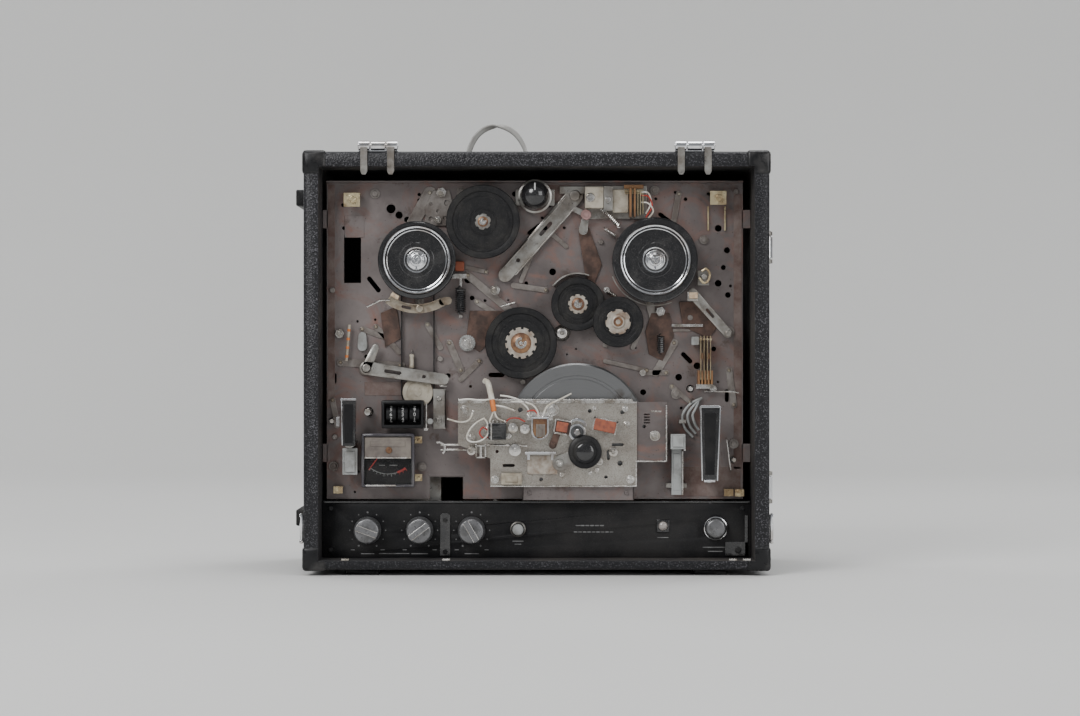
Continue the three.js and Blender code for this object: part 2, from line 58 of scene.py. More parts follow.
def box_mm(node):
    """The lowest and highest corner of a CAD node, in millimetres."""
    low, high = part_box(node)
    return [v / MM for v in low], [v / MM for v in high]


def centre_mm(node):
    low, high = box_mm(node)
    return [(a + b) / 2 for a, b in zip(low, high)]


# ---------------------------------------------------------- raw shapes
def lathe(profile, x=0.0, z=0.0, segments=72):
    """A turned shape about an axis along Y through (x, z). profile is [(radius, y)], front to back."""
    verts, faces, rings = [], [], []
    for r, y in profile:
        if r < 1e-6:
            verts.append((x, y, z))
            rings.append([len(verts) - 1] * segments)
            continue
        start = len(verts)
        verts += [(x + r * cos(a), y, z + r * sin(a)) for a in around(segments)]
        rings.append(list(range(start, start + segments)))
    for low, high in zip(rings, rings[1:]):
        for i in range(segments):
            j = (i + 1) % segments
            quad = [low[i], high[i], high[j], low[j]]
            face = [v for k, v in enumerate(quad) if v not in quad[:k]]
            if len(face) > 2:
                faces.append(face)
    return verts, faces


def prism(outline, y0, y1):
    """A flat outline [(x, z)], counter-clockwise from the front, given thickness from y0 (front) to y1."""
    n = len(outline)
    verts = [(x, y0, z) for x, z in outline] + [(x, y1, z) for x, z in outline]
    faces = [list(range(n)), list(range(2 * n - 1, n - 1, -1))]
    faces += [[(i + 1) % n, i, n + i, n + (i + 1) % n] for i in range(n)]
    return verts, faces


def box(x0, x1, y0, y1, z0, z1):
    return prism([(x0, z0), (x1, z0), (x1, z1), (x0, z1)], y0, y1)


def disc(x, z, r, n, start=0.0, sweep=TAU):
    """The outline of a disc, or of as much of it as the sweep takes in."""
    return [polar(x, z, r, start + sweep * i / n) for i in range(n)]


def polar(x, z, r, angle):
    """The point at a radius and an angle from (x, z)."""
    return x + r * cos(angle), z + r * sin(angle)


def around(n):
    """The angles of n places spread evenly round a circle."""
    return [TAU * i / n for i in range(n)]


def capsule(x0, z0, x1, z1, width0, width1=None):
    """The outline of a straight link with round ends, which may taper."""
    width1, n = width1 or width0, 8
    along = math.atan2(z1 - z0, x1 - x0)
    points = []
    for x, z, r, first in ((x1, z1, width1 / 2, along - TAU / 4), (x0, z0, width0 / 2, along + TAU / 4)):
        points += [polar(x, z, r, first + pi * i / n)
                   for i in range(n + 1)]
    return points


def ring_sector(x, z, inner, outer, start, end, n):
    """The outline of a part of a flat ring."""
    angles = [start + (end - start) * i / n for i in range(n + 1)]
    return ([polar(x, z, outer, a) for a in angles]
            + [polar(x, z, inner, a) for a in reversed(angles)])


def tube(points, r, segments=8):
    """A round bar along a list of points."""
    line = [Vector(p) for p in points]
    count = len(line)
    verts, faces, side = [], [], None
    for i, p in enumerate(line):
        along = (line[min(i + 1, count - 1)] - line[max(i - 1, 0)]).normalized()
        if side is None:
            side = along.orthogonal().normalized()
        side = (side - along * side.dot(along)).normalized()
        other = along.cross(side)
        verts += [tuple(p + side * (r * cos(a)) + other * (r * sin(a))) for a in around(segments)]
    for i in range(count - 1):
        for k in range(segments):
            m = (k + 1) % segments
            faces.append([i * segments + k, i * segments + m, (i + 1) * segments + m, (i + 1) * segments + k])
    faces.append(list(range(segments))[::-1])
    faces.append([(count - 1) * segments + k for k in range(segments)])
    return verts, faces


def smooth_line(points, per_span=6):
    """Catmull-Rom points through a short list of points."""
    pts = [Vector(p) for p in points]
    pts = [pts[0] * 2 - pts[1]] + pts + [pts[-1] * 2 - pts[-2]]
    line = []
    for a, b, c, d in zip(pts, pts[1:], pts[2:], pts[3:]):
        for i in range(per_span):
            t = i / per_span
            line.append(0.5 * (2 * b + (c - a) * t + (2 * a - 5 * b + 4 * c - d) * t * t
                               + (3 * b - a - 3 * c + d) * t ** 3))
    return line + [pts[-2]]


def spring(start, end, radius=2.2, wire_r=0.4, turns=12):
    """A coil spring with a straight tail at each end."""
    a, b = Vector(start), Vector(end)
    along = (b - a).normalized()
    side = along.orthogonal().normalized()
    other = along.cross(side)
    line, steps = [a], turns * 9
    for i in range(steps + 1):
        t = i / steps
        turn = TAU * turns * t
        line.append(a.lerp(b, 0.1 + 0.8 * t) + side * (radius * cos(turn)) + other * (radius * sin(turn)))
    return tube(line + [b], wire_r, 5)


def screw(x, z, y, r=3.2, angle=0.6, washer=True):
    """A slotted pan-head screw whose head stands on the plane y, towards the front."""
    shapes = []
    if washer:
        shapes.append(lathe([(0, y - 0.7), (r * 1.45, y - 0.7), (r * 1.5, y - 0.5), (r * 1.5, y + 0.3)], x, z,
                            24))
        y -= 0.7
    top = y - r * 0.62
    shapes.append(lathe([(0, top + 0.5), (r * 0.9, top + 0.5), (r, top + 1.0), (r, y + 0.3)], x, z, 24))
    for turn in (0.0, pi):
        arc = disc(x, z, r * 0.86, 11, angle + turn + 0.24, pi - 0.24 * 2 + 0.25)
        shapes.append(prism(arc, top, top + 0.6))
    return join(*shapes)


def hexnut(x, z, y, r, height):
    """A nut on the plane y with the end of its bolt standing out of it."""
    bolt = [(0, y - height - 1.2), (r * 0.5, y - height - 1.2), (r * 0.55, y - height - 0.9), (r * 0.55, y)]
    return join(prism(disc(x, z, r, 6, 0.2), y - height, y + 0.2), lathe(bolt, x, z, 18))


def join(*shapes):
    """Several raw shapes as one."""
    verts, faces = [], []
    for v, f in shapes:
        start = len(verts)
        verts += list(v)
        faces += [[i + start for i in face] for face in f]
    return verts, faces


def moved(shape, matrix):
    return [tuple(matrix @ Vector(v)) for v in shape[0]], shape[1]


def placed(shape, spot, turn=0.0, axis="X"):
    """The shape turned about an axis through the origin, by an angle in radians, and then moved to a spot."""
    return moved(shape, Matrix.Translation(spot) @ Matrix.Rotation(turn, 4, axis))


def turned(shape, degrees, axis, about):
    """The shape turned about an axis through a point, by the right-hand rule."""
    spot = Matrix.Translation(Vector(about))
    return moved(shape, spot @ Matrix.Rotation(radians(degrees), 4, axis) @ spot.inverted())


# ---------------------------------------------------------- pieces
def new_object(name, shape):
    verts, faces = shape
    mesh = bpy.data.meshes.new(name)
    mesh.from_pydata([(v[0] * MM, v[1] * MM, v[2] * MM) for v in verts], [], faces)
    mesh.validate()
    obj = bpy.data.objects.new(name, mesh)
    bpy.context.scene.collection.objects.link(obj)
    return obj


def round_edges(obj, width, segments, angle):
    """A bevel along the edges that are sharper than the angle; no width means none."""
    if not width:
        return
    rounding = obj.modifiers.new("edges", "BEVEL")
    rounding.width = width * MM
    rounding.segments = segments
    rounding.limit_method = "ANGLE"
    rounding.angle_limit = radians(angle)
    rounding.harden_normals = True


def soften(obj, bevel, segments, angle):
    """Smooth shading with sharp edges kept, and a small bevel so that edges catch the light."""
    obj.data.shade_smooth()
    obj.data.set_sharp_from_angle(angle=radians(angle))
    round_edges(obj, bevel, segments, angle)


def make(name, shapes, material, body="case", replaces=(), bevel=0.3, angle=35, segments=2):
    """One piece from one raw shape or a list of them, in the one material given."""
    obj = new_object(name, join(*shapes) if isinstance(shapes, list) else shapes)
    fix_normals(obj)
    soften(obj, bevel, segments, angle)
    obj.data.materials.append(material)
    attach(obj, body)
    if replaces:
        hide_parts(*replaces)
    return obj


def fix_normals(obj):
    bm = bmesh.new()
    bm.from_mesh(obj.data)
    bmesh.ops.recalc_face_normals(bm, faces=bm.faces)
    bm.to_mesh(obj.data)
    bm.free()


def carve(obj, *cutters, edges=None):
    """Cuts raw shapes out of a piece. edges are what soften() then takes: bevel, segments, angle."""
    tool = new_object(obj.name + "_cutter", join(*cutters))
    fix_normals(tool)
    cut = obj.modifiers.new("cut", "BOOLEAN")
    cut.operation = "DIFFERENCE"
    cut.solver = "EXACT"
    cut.use_self = True
    cut.object = tool
    graph = bpy.context.evaluated_depsgraph_get()
    result = bpy.data.meshes.new_from_object(obj.evaluated_get(graph))
    obj.modifiers.clear()
    obj.data = result
    bpy.data.objects.remove(tool)
    if edges:
        soften(obj, *edges)


def finish_node(node, material, bevel):
    """Keeps a CAD node's own shape: welded, with rounded edges and smooth shading, in a better material."""
    obj = NODES[node]
    obj.data.materials.clear()
    obj.data.materials.append(material)
    weld = obj.modifiers.new("weld", "WELD")
    weld.merge_threshold = WELD_GAP * MM
    round_edges(obj, bevel, 2, 35)
    obj.data.shade_smooth()


# ---------------------------------------------------------- materials
class Nodes:
    """Short names for building one node material."""

    def __init__(self, name):
        self.material = bpy.data.materials.new(name)
        self.material.use_nodes = True
        self.tree = self.material.node_tree
        self.shader = self.tree.nodes["Principled BSDF"]
        self.spot = self.add("ShaderNodeTexCoord").outputs["Object"]

    def add(self, kind, **settings):
        node = self.tree.nodes.new(kind)
        for key, value in settings.items():
            setattr(node, key, value)
        return node

    def link(self, source, target):
        self.tree.links.new(source, target)

    def stretched(self, scale):
        mapping = self.add("ShaderNodeMapping")
        mapping.inputs["Scale"].default_value = scale
        self.link(self.spot, mapping.inputs["Vector"])
        return mapping.outputs["Vector"]

    def noise(self, scale, detail=4.0, rough=0.55, where=None, distort=0.0):
        node = self.add("ShaderNodeTexNoise")
        node.inputs["Scale"].default_value = scale
        node.inputs["Detail"].default_value = detail
        node.inputs["Roughness"].default_value = rough
        node.inputs["Distortion"].default_value = distort
        self.link(where or self.spot, node.inputs["Vector"])
        return node.outputs["Fac"]

    def cells(self, scale, feature="F1"):
        node = self.add("ShaderNodeTexVoronoi", feature=feature)
        node.inputs["Scale"].default_value = scale
        self.link(self.spot, node.inputs["Vector"])
        return node.outputs["Distance"]

    def ramp(self, value, low, high, at_low=0.0, at_high=1.0):
        node = self.add("ShaderNodeMapRange")
        for key, number in (("From Min", low), ("From Max", high), ("To Min", at_low), ("To Max", at_high)):
            node.inputs[key].default_value = number
        self.link(value, node.inputs["Value"])
        return node.outputs["Result"]

    def mix(self, amount, a, b):
        node = self.add("ShaderNodeMix", data_type="RGBA")
        self.link(amount, node.inputs["Factor"])
        for socket, value in ((node.inputs[6], a), (node.inputs[7], b)):
            if isinstance(value, tuple):
                socket.default_value = (*value, 1)
            else:
                self.link(value, socket)
        return node.outputs[2]

    def math(self, operation, a, b=0.0):
        node = self.add("ShaderNodeMath", operation=operation)
        for socket, value in zip(node.inputs, (a, b)):
            if isinstance(value, (int, float)):
                socket.default_value = value
            else:
                self.link(value, socket)
        return node.outputs[0]

    def bump(self, height, strength, distance_mm, under=None):
        node = self.add("ShaderNodeBump")
        node.inputs["Strength"].default_value = strength
        node.inputs["Distance"].default_value = distance_mm * MM
        self.link(height, node.inputs["Height"])
        if under:
            self.link(under, node.inputs["Normal"])
        self.link(node.outputs["Normal"], self.shader.inputs["Normal"])
        return node.outputs["Normal"]

    def set(self, **values):
        for key, value in values.items():
            socket = self.shader.inputs[key.replace("_", " ")]
            if isinstance(value, bpy.types.NodeSocket):
                self.link(value, socket)
            else:
                socket.default_value = (*value, 1) if isinstance(value, tuple) else value


def worn(name, clean, dirty, rough=(0.3, 0.5), metal=0.0, spread=25, grime=0.5, fine=900, fine_depth=0.02,
         coat=0.0, dust=0.0, streak=None, shine=0.5):
    """An aged surface: two colours in soft patches, uneven gloss, a fine texture and a film of dust."""
    n = Nodes(name)
    where = n.stretched(streak) if streak else n.spot
    patches = n.noise(spread, 6, 0.6)
    colour = n.mix(n.ramp(patches, 0.62 - grime * 0.3, 0.62, 0, 1), clean, dirty)
    small = n.noise(fine, 3, 0.6, where)
    if dust:
        specks = n.ramp(n.noise(fine * 1.7, 2, 0.7), 0.6, 0.72)
        colour = n.mix(n.math("MULTIPLY", specks, dust), colour, (0.45, 0.43, 0.41))
    n.set(Base_Color=colour, Metallic=metal, Roughness=n.ramp(n.noise(spread * 3.3, 4, 0.6), 0.3, 0.7,
                                                              *rough), Coat_Weight=coat,
          Specular_IOR_Level=shine)
    n.bump(small, 0.35, fine_depth)
    return n.material


def leatherette():
    """Pebble-grained black cloth-backed vinyl, with painted highlights on the tops of its grain."""
    n = Nodes("leatherette")
    grain = n.cells(760, "SMOOTH_F1")
    fine = n.noise(2600, 2, 0.6)
    # The broad noise below varies the gloss, as wear does, and also how strong the painted highlight on the
    # grain's tops is.
    wear_and_sheen = n.noise(9, 5, 0.6)
    # Lighter grain tops: a painted highlight, standing in for light caught on the grain.
    grain_highlight = n.ramp(grain, 0.36, 0.10)
    colour = n.mix(n.math("MULTIPLY", grain_highlight, n.ramp(wear_and_sheen, 0.35, 0.7, 0.25, 0.9)), (0.005, 0.005, 0.007),
                   (0.135, 0.132, 0.146))
    n.set(Base_Color=colour, Roughness=n.ramp(wear_and_sheen, 0.3, 0.7, 0.34, 0.52), Specular_IOR_Level=0.4)
    first = n.bump(n.math("SUBTRACT", 1.0, grain), 0.9, 0.45)
    n.bump(fine, 0.25, 0.08, first)
    return n.material


def chassis_steel():
    """Plated steel sheet gone dull, with pinkish brown stains, dark spots and a film of dust."""
    n = Nodes("chassis_steel")
    broad = n.noise(11, 7, 0.62, distort=0.4)
    stains = n.noise(26, 8, 0.7, distort=1.2)
    spots = n.cells(210)
    base = n.mix(n.ramp(broad, 0.34, 0.66), (0.125, 0.108, 0.105), (0.235, 0.205, 0.198))
    base = n.mix(n.ramp(stains, 0.50, 0.68, 0, 0.8), base, (0.21, 0.105, 0.08))
    base = n.mix(n.ramp(n.noise(44, 6, 0.7), 0.60, 0.68, 0, 0.8), base, (0.115, 0.085, 0.075))
    base = n.mix(n.ramp(spots, 0.11, 0.05, 0, 0.75), base, (0.05, 0.04, 0.036))
    n.set(Base_Color=base, Metallic=n.ramp(stains, 0.5, 0.72, 0.75, 0.15),
          Roughness=n.ramp(n.noise(70, 5, 0.65), 0.3, 0.7, 0.36, 0.66))
    first = n.bump(n.noise(900, 3, 0.7), 0.3, 0.03)
    n.bump(n.ramp(spots, 0.12, 0.0), 0.5, 0.06, first)
    return n.material


def pitted_nickel():
    """Bright nickel plate covered in fine dark and white corrosion spots."""
    n = Nodes("pitted_nickel")
    pits = n.cells(640)
    crumbs = n.noise(1050, 5, 0.75)
    cloud = n.noise(38, 5, 0.6)
    base = n.mix(n.ramp(cloud, 0.35, 0.65), (0.50, 0.475, 0.43), (0.33, 0.30, 0.265))
    base = n.mix(n.ramp(crumbs, 0.52, 0.64, 0, 0.85), base, (0.16, 0.13, 0.105))
    base = n.mix(n.ramp(pits, 0.22, 0.08, 0, 0.8), base, (0.07, 0.055, 0.045))
    base = n.mix(n.ramp(n.noise(700, 4, 0.8), 0.62, 0.70, 0, 0.9), base, (0.80, 0.79, 0.75))
    n.set(Base_Color=base, Metallic=n.ramp(crumbs, 0.48, 0.66, 0.95, 0.25),
          Roughness=n.ramp(crumbs, 0.4, 0.7, 0.24, 0.6))
    n.bump(crumbs, 0.5, 0.07)
    return n.material


def spun(name, colour, dirty, x, z, pitch=1.1, rough=(0.24, 0.42), metal=1.0, grime=0.35):
    """Metal turned on a lathe about (x, z): fine rings round the axis under faint patches of grime."""
    n = Nodes(name)
    parts = n.add("ShaderNodeSeparateXYZ")
    n.link(n.spot, parts.inputs[0])
    dx = n.math("SUBTRACT", parts.outputs[0], x * MM)
    dz = n.math("SUBTRACT", parts.outputs[2], z * MM)
    radius = n.math("SQRT", n.math("ADD", n.math("MULTIPLY", dx, dx), n.math("MULTIPLY", dz, dz)))
    along = n.add("ShaderNodeCombineXYZ")
    n.link(radius, along.inputs[0])
    rings = n.noise(1000 / pitch, 4, 0.8, along.outputs[0])
    patches = n.noise(60, 6, 0.65)
    tint = n.mix(n.ramp(patches, 0.66 - grime * 0.25, 0.7), colour, dirty)
    tint = n.mix(n.ramp(rings, 0.35, 0.75, 0, 0.35), tint, tuple(c * 0.55 for c in colour))
    n.set(Base_Color=tint, Metallic=metal, Roughness=n.ramp(rings, 0.3, 0.7, *rough))
    n.bump(rings, 0.3, 0.03)
    return n.material


LEATHERETTE = leatherette()
CHASSIS_STEEL = chassis_steel()
PITTED_NICKEL = pitted_nickel()

CORNER_ENAMEL = worn("corner_enamel", (0.012, 0.012, 0.013), (0.05, 0.048, 0.047), (0.22, 0.42), 0.2, 40, 0.4,
                     700, 0.03, shine=0.35)
BLACK_PANEL = worn("black_panel", (0.007, 0.007, 0.008), (0.02, 0.019, 0.019), (0.28, 0.44), 0.0, 14, 0.5,
                   1500, 0.012, dust=0.12, shine=0.25)
GLOSS_BLACK = worn("gloss_black", (0.012, 0.012, 0.013), (0.03, 0.029, 0.029), (0.09, 0.24), 0.0, 60, 0.4,
                   900, 0.01, coat=0.6, dust=0.2)
RUBBER = worn("black_rubber", (0.009, 0.009, 0.010), (0.022, 0.021, 0.020), (0.36, 0.62), 0.0, 50, 0.5, 1300,
              0.02, dust=0.2, shine=0.25)
STEEL = worn("dull_steel", (0.41, 0.40, 0.375), (0.23, 0.205, 0.18), (0.25, 0.5), 0.9, 60, 0.75, 1100, 0.03,
             dust=0.35)
RUSTY_STEEL = worn("rusty_steel", (0.20, 0.155, 0.14), (0.125, 0.08, 0.068), (0.4, 0.7), 0.45, 70, 0.85, 1000,
                   0.03, dust=0.15)
BRASS_STEEL = worn("brassy_steel", (0.44, 0.40, 0.33), (0.24, 0.19, 0.14), (0.28, 0.5), 0.85, 60, 0.7, 1100,
                   0.03, dust=0.3)
BRIGHT = worn("bright_steel", (0.72, 0.70, 0.67), (0.42, 0.38, 0.33), (0.14, 0.36), 1.0, 90, 0.55, 1200,
              0.015)
HUB_ALLOY = worn("hub_alloy", (0.50, 0.46, 0.40), (0.27, 0.20, 0.15), (0.3, 0.5), 0.55, 110, 0.7, 1000, 0.03,
                 dust=0.3)
BRASS_BROWN = worn("brown_brass", (0.30, 0.17, 0.09), (0.12, 0.06, 0.04), (0.3, 0.5), 0.6, 130, 0.7, 1000,
                   0.02)
CADMIUM = worn("yellow_plating", (0.66, 0.56, 0.36), (0.36, 0.26, 0.15), (0.24, 0.45), 0.9, 90, 0.6, 1000,
               0.02)
CHROME = worn("chrome", (0.82, 0.83, 0.85), (0.55, 0.52, 0.50), (0.05, 0.17), 1.0, 45, 0.35, 900, 0.006)
KNOB_FACE = worn("knob_face", (0.19, 0.19, 0.195), (0.13, 0.13, 0.13), (0.24, 0.38), 0.6, 120, 0.4, 500, 0.03,
                 streak=(0.08, 1, 1))
COPPER = worn("tarnished_copper", (0.15, 0.092, 0.072), (0.075, 0.052, 0.044), (0.3, 0.55), 0.6, 110, 0.8,
              900, 0.03)
CREAM = worn("cream_plastic", (0.44, 0.40, 0.325), (0.26, 0.22, 0.165), (0.36, 0.55), 0.0, 70, 0.6, 1100,
             0.02)
METER_COVER = worn("meter_cover", (0.20, 0.175, 0.15), (0.12, 0.10, 0.09), (0.3, 0.5), 0.0, 70, 0.7, 1100,
                   0.02)
GREY_NYLON = worn("grey_nylon", (0.33, 0.34, 0.335), (0.20, 0.20, 0.19), (0.38, 0.55), 0.0, 60, 0.6, 1100,
                  0.02, dust=0.2)
PINK = worn("pink_rubber", (0.33, 0.20, 0.19), (0.22, 0.13, 0.12), (0.5, 0.7), 0.0, 90, 0.5, 1200, 0.02)
SMOKE = worn("smoked_styrene", (0.050, 0.046, 0.055), (0.09, 0.085, 0.09), (0.12, 0.28), 0.0, 60, 0.5, 1200,
             0.01, coat=0.5, dust=0.2)
LAMP_LENS = worn("lamp_lens", (0.34, 0.31, 0.29), (0.22, 0.20, 0.19), (0.06, 0.2), 0.0, 90, 0.3, 1200, 0.01,
                 coat=0.7)
WHITE = worn("white_vinyl", (0.74, 0.72, 0.66), (0.52, 0.47, 0.38), (0.35, 0.5), 0.0, 90, 0.5, 1400, 0.01)
ORANGE = worn("orange_sleeve", (0.66, 0.20, 0.045), (0.42, 0.12, 0.04), (0.4, 0.6), 0.0, 90, 0.4, 1400, 0.01)
RED = worn("red_vinyl", (0.45, 0.045, 0.03), (0.28, 0.04, 0.03), (0.35, 0.5), 0.0, 90, 0.4, 1400, 0.01)
BROWN_BOARD = worn("phenolic_board", (0.25, 0.125, 0.05), (0.14, 0.07, 0.035), (0.35, 0.55), 0.0, 40, 0.6,
                   1400, 0.02)
FELT = worn("brick_felt", (0.34, 0.105, 0.06), (0.20, 0.07, 0.05), (0.85, 0.98), 0.0, 160, 0.6, 2400, 0.12)
PALE_FELT = worn("pale_felt", (0.62, 0.50, 0.36), (0.42, 0.30, 0.20), (0.85, 0.98), 0.0, 160, 0.6, 2400, 0.12)
CORD_VINYL = worn("cord_vinyl", (0.31, 0.305, 0.29), (0.21, 0.20, 0.185), (0.34, 0.5), 0.0, 40, 0.5, 1500,
                  0.01)
PLUG_VINYL = worn("plug_vinyl", (0.36, 0.355, 0.335), (0.25, 0.24, 0.22), (0.32, 0.48), 0.0, 40, 0.5, 1500,
                  0.01)
DARK = worn("dark_inside", (0.012, 0.012, 0.013), (0.03, 0.028, 0.026), (0.55, 0.8), 0.0, 40, 0.5, 900, 0.02)
INSIDE_BLACK = worn("inside_black", (0.020, 0.019, 0.020), (0.045, 0.040, 0.036), (0.5, 0.75), 0.0, 18, 0.6,
                    900, 0.03, dust=0.35)
WHITE_INK = worn("white_ink", (0.50, 0.50, 0.49), (0.33, 0.33, 0.32), (0.45, 0.6), 0.0, 200, 0.5, 1500, 0.004)
FADED_INK = worn("faded_ink", (0.20, 0.20, 0.20), (0.10, 0.10, 0.10), (0.45, 0.6), 0.0, 200, 0.6, 1500, 0.004)
LINK_STEEL = worn("link_steel", (0.30, 0.275, 0.255), (0.165, 0.14, 0.125), (0.3, 0.55), 0.8, 60, 0.75, 1100,
                  0.03, dust=0.2)
RED_INK = worn("red_ink", (0.32, 0.03, 0.025), (0.20, 0.02, 0.02), (0.45, 0.6), 0.0, 200, 0.4, 1500, 0.004)


def clear_plastic():
    """Thin clear moulding with faint haze."""
    n = Nodes("clear_plastic")
    haze = n.noise(120, 5, 0.6)
    n.set(Base_Color=(0.93, 0.94, 0.93), Roughness=n.ramp(haze, 0.3, 0.7, 0.02, 0.12),
          Transmission_Weight=1.0, IOR=1.2)
    n.shader.inputs["Alpha"].default_value = 0.35
    return n.material


CLEAR = clear_plastic()
FLYWHEEL_METAL = spun("flywheel_metal", (0.27, 0.272, 0.275), (0.17, 0.155, 0.145),
                      *centre_mm("flywheel")[::2])


# ---------------------------------------------------------- camera, floor and light
CASE_LOW, CASE_HIGH = box_mm("case_top")
RIM_Y = CASE_LOW[1]  # the front edge of the walls
CASE_TOP = CASE_HIGH[2]
CASE_HALF = CASE_HIGH[0]
CASE_BACK = CASE_HIGH[1]
VIEW_DISTANCE = 2200
VIEW_WIDTH = 925.6  # what the frame shows across, at the rim
SENSOR = 36
CAMERA_X, CAMERA_Z = 3, 186.8  # what it looks straight at


def set_camera():
    """The photograph's view: straight on, from the height of the middle of the machine."""
    camera = bpy.data.objects.new("camera", bpy.data.cameras.new("camera"))
    camera.data.sensor_width = SENSOR
    camera.data.lens = SENSOR * VIEW_DISTANCE / VIEW_WIDTH
    camera.data.clip_start = 0.05
    camera.data.clip_end = 30
    camera.location = (CAMERA_X * MM, (RIM_Y - VIEW_DISTANCE) * MM, CAMERA_Z * MM)
    camera.rotation_euler = (radians(90), 0, 0)
    bpy.context.scene.collection.objects.link(camera)
    bpy.context.scene.camera = camera


def soft_light(name, place, aim, size, power):
    """A rectangular lamp at a place in metres, turned to face the aim."""
    lamp = bpy.data.lights.new(name, "AREA")
    lamp.shape = "RECTANGLE"
    lamp.size, lamp.size_y = size
    lamp.energy = power
    obj = bpy.data.objects.new(name, lamp)
    obj.location = place
    obj.rotation_euler = (Vector(aim) - Vector(place)).to_track_quat("-Z", "Y").to_euler()
    bpy.context.scene.collection.objects.link(obj)


def set_stage():
    """A pale floor that curves up behind the machine, soft lamps and a dim even sky. All in metres."""
    n = Nodes("studio_floor")
    n.set(Base_Color=n.mix(n.noise(2.0), (0.60, 0.60, 0.59), (0.64, 0.64, 0.63)), Roughness=0.75)
    half, back, rise, bend, steps = 6.0, 2.6, 4.0, 0.8, 10
    profile = [(-half, 0.0), (back - bend, 0.0)]
    profile += [(back - bend + bend * sin(a), bend - bend * cos(a))
                for a in (i * TAU / 4 / steps for i in range(1, steps + 1))]
    profile.append((back, rise))
    verts = [(x, y, z) for y, z in profile for x in (-half, half)]
    faces = [[2 * i, 2 * i + 1, 2 * i + 3, 2 * i + 2] for i in range(len(profile) - 1)]
    mesh = bpy.data.meshes.new("studio_floor")
    mesh.from_pydata(verts, [], faces)
    mesh.shade_smooth()
    mesh.materials.append(n.material)
    floor = bpy.data.objects.new("studio_floor", mesh)
    bpy.context.scene.collection.objects.link(floor)

    for name, place, aim_z, size, power in (("key", (-1.5, -2.2, 1.9), 0.2, (1.3, 1.3), 62),
                                            ("fill", (2.0, -2.0, 0.9), 0.2, (1.5, 1.5), 22),
                                            ("top", (0.1, -0.1, 2.2), 0.3, (1.6, 1.1), 30),
                                            ("back_left", (-2.0, 1.7, 1.5), 0.2, (1.2, 1.2), 24),
                                            ("back_right", (1.9, 1.6, 1.6), 0.2, (1.2, 1.2), 24)):
        soft_light(name, place, (0, 0, aim_z), size, power)
    world = bpy.data.worlds.new("studio")
    world.use_nodes = True
    world.node_tree.nodes["Background"].inputs["Color"].default_value = (0.92, 0.94, 0.97, 1)
    world.node_tree.nodes["Background"].inputs["Strength"].default_value = 0.30
    bpy.context.scene.world = world


# ---------------------------------------------------------- mains lead
def ribbon(points, wides, half_width, half_thick, segments=12, waist=0.0, closed=False):
    """A band or twin cord along points. wides are the directions of its width; waist pinches its middle."""
    line = [Vector(p) for p in points]
    count = len(line)
    verts, faces = [], []
    for i, p in enumerate(line):
        ahead = line[(i + 1) % count] if closed else line[min(i + 1, count - 1)]
        behind = line[i - 1] if closed or i else line[0]
        along = (ahead - behind).normalized()
        wide = (wides[i] - along * wides[i].dot(along)).normalized()
        thick = along.cross(wide)
        for k in range(segments):
            a = TAU * (k + 0.5) / segments
            across = half_width * cos(a)
            pinch = 1 - waist * math.exp(-((across / half_thick / 0.55) ** 2))
            verts.append(tuple(p + wide * across + thick * (half_thick * pinch * sin(a))))
    for i in range(count if closed else count - 1):
        for k in range(segments):
            j, m = (i + 1) % count, (k + 1) % segments
            faces.append([i * segments + k, i * segments + m, j * segments + m, j * segments + k])
    if not closed:
        faces.append(list(range(segments))[::-1])
        faces.append([(count - 1) * segments + k for k in range(segments)])
    return verts, faces


def loft(sections):
    """A skin through rings of equally many points, closed at both ends."""
    n = len(sections[0])
    verts = [p for ring in sections for p in ring]
    faces = [[i * n + k, i * n + (k + 1) % n, (i + 1) * n + (k + 1) % n, (i + 1) * n + k]
             for i in range(len(sections) - 1) for k in range(n)]
    faces += [list(range(n))[::-1], [(len(sections) - 1) * n + k for k in range(n)]]
    return verts, faces


COIL_X, COIL_Y = centre_mm("cord_coil")[:2]
RELIEF_LOW = box_mm("strain_relief")[0]
LEAD_EXIT = (-65, 107, 360)
LEAD_X = -10  # the lead runs to its coil along this line
LEAD_HALF_WIDTH = 2.75
LEAD_HALF_THICK = 1.5
LEAD_FLOOR = 3.05  # height of its middle where it stands on edge
ROW_RISE = 5.6  # from one layer of the coil to the next
TURN_STEP = 3.1  # from one turn to the next
INWARD_TURNS = 3.4
RISE_TURNS = 0.4
ALL_TURNS = 6.25
STEP_OUT = 1.9
PER_TURN = 48
Y_AXIS, X_AXIS, Z_AXIS = Vector((0, 1, 0)), Vector((1, 0, 0)), Vector((0, 0, 1))


def smoothstep(t):
    t = max(0.0, min(1.0, t))
    return t * t * (3 - 2 * t)


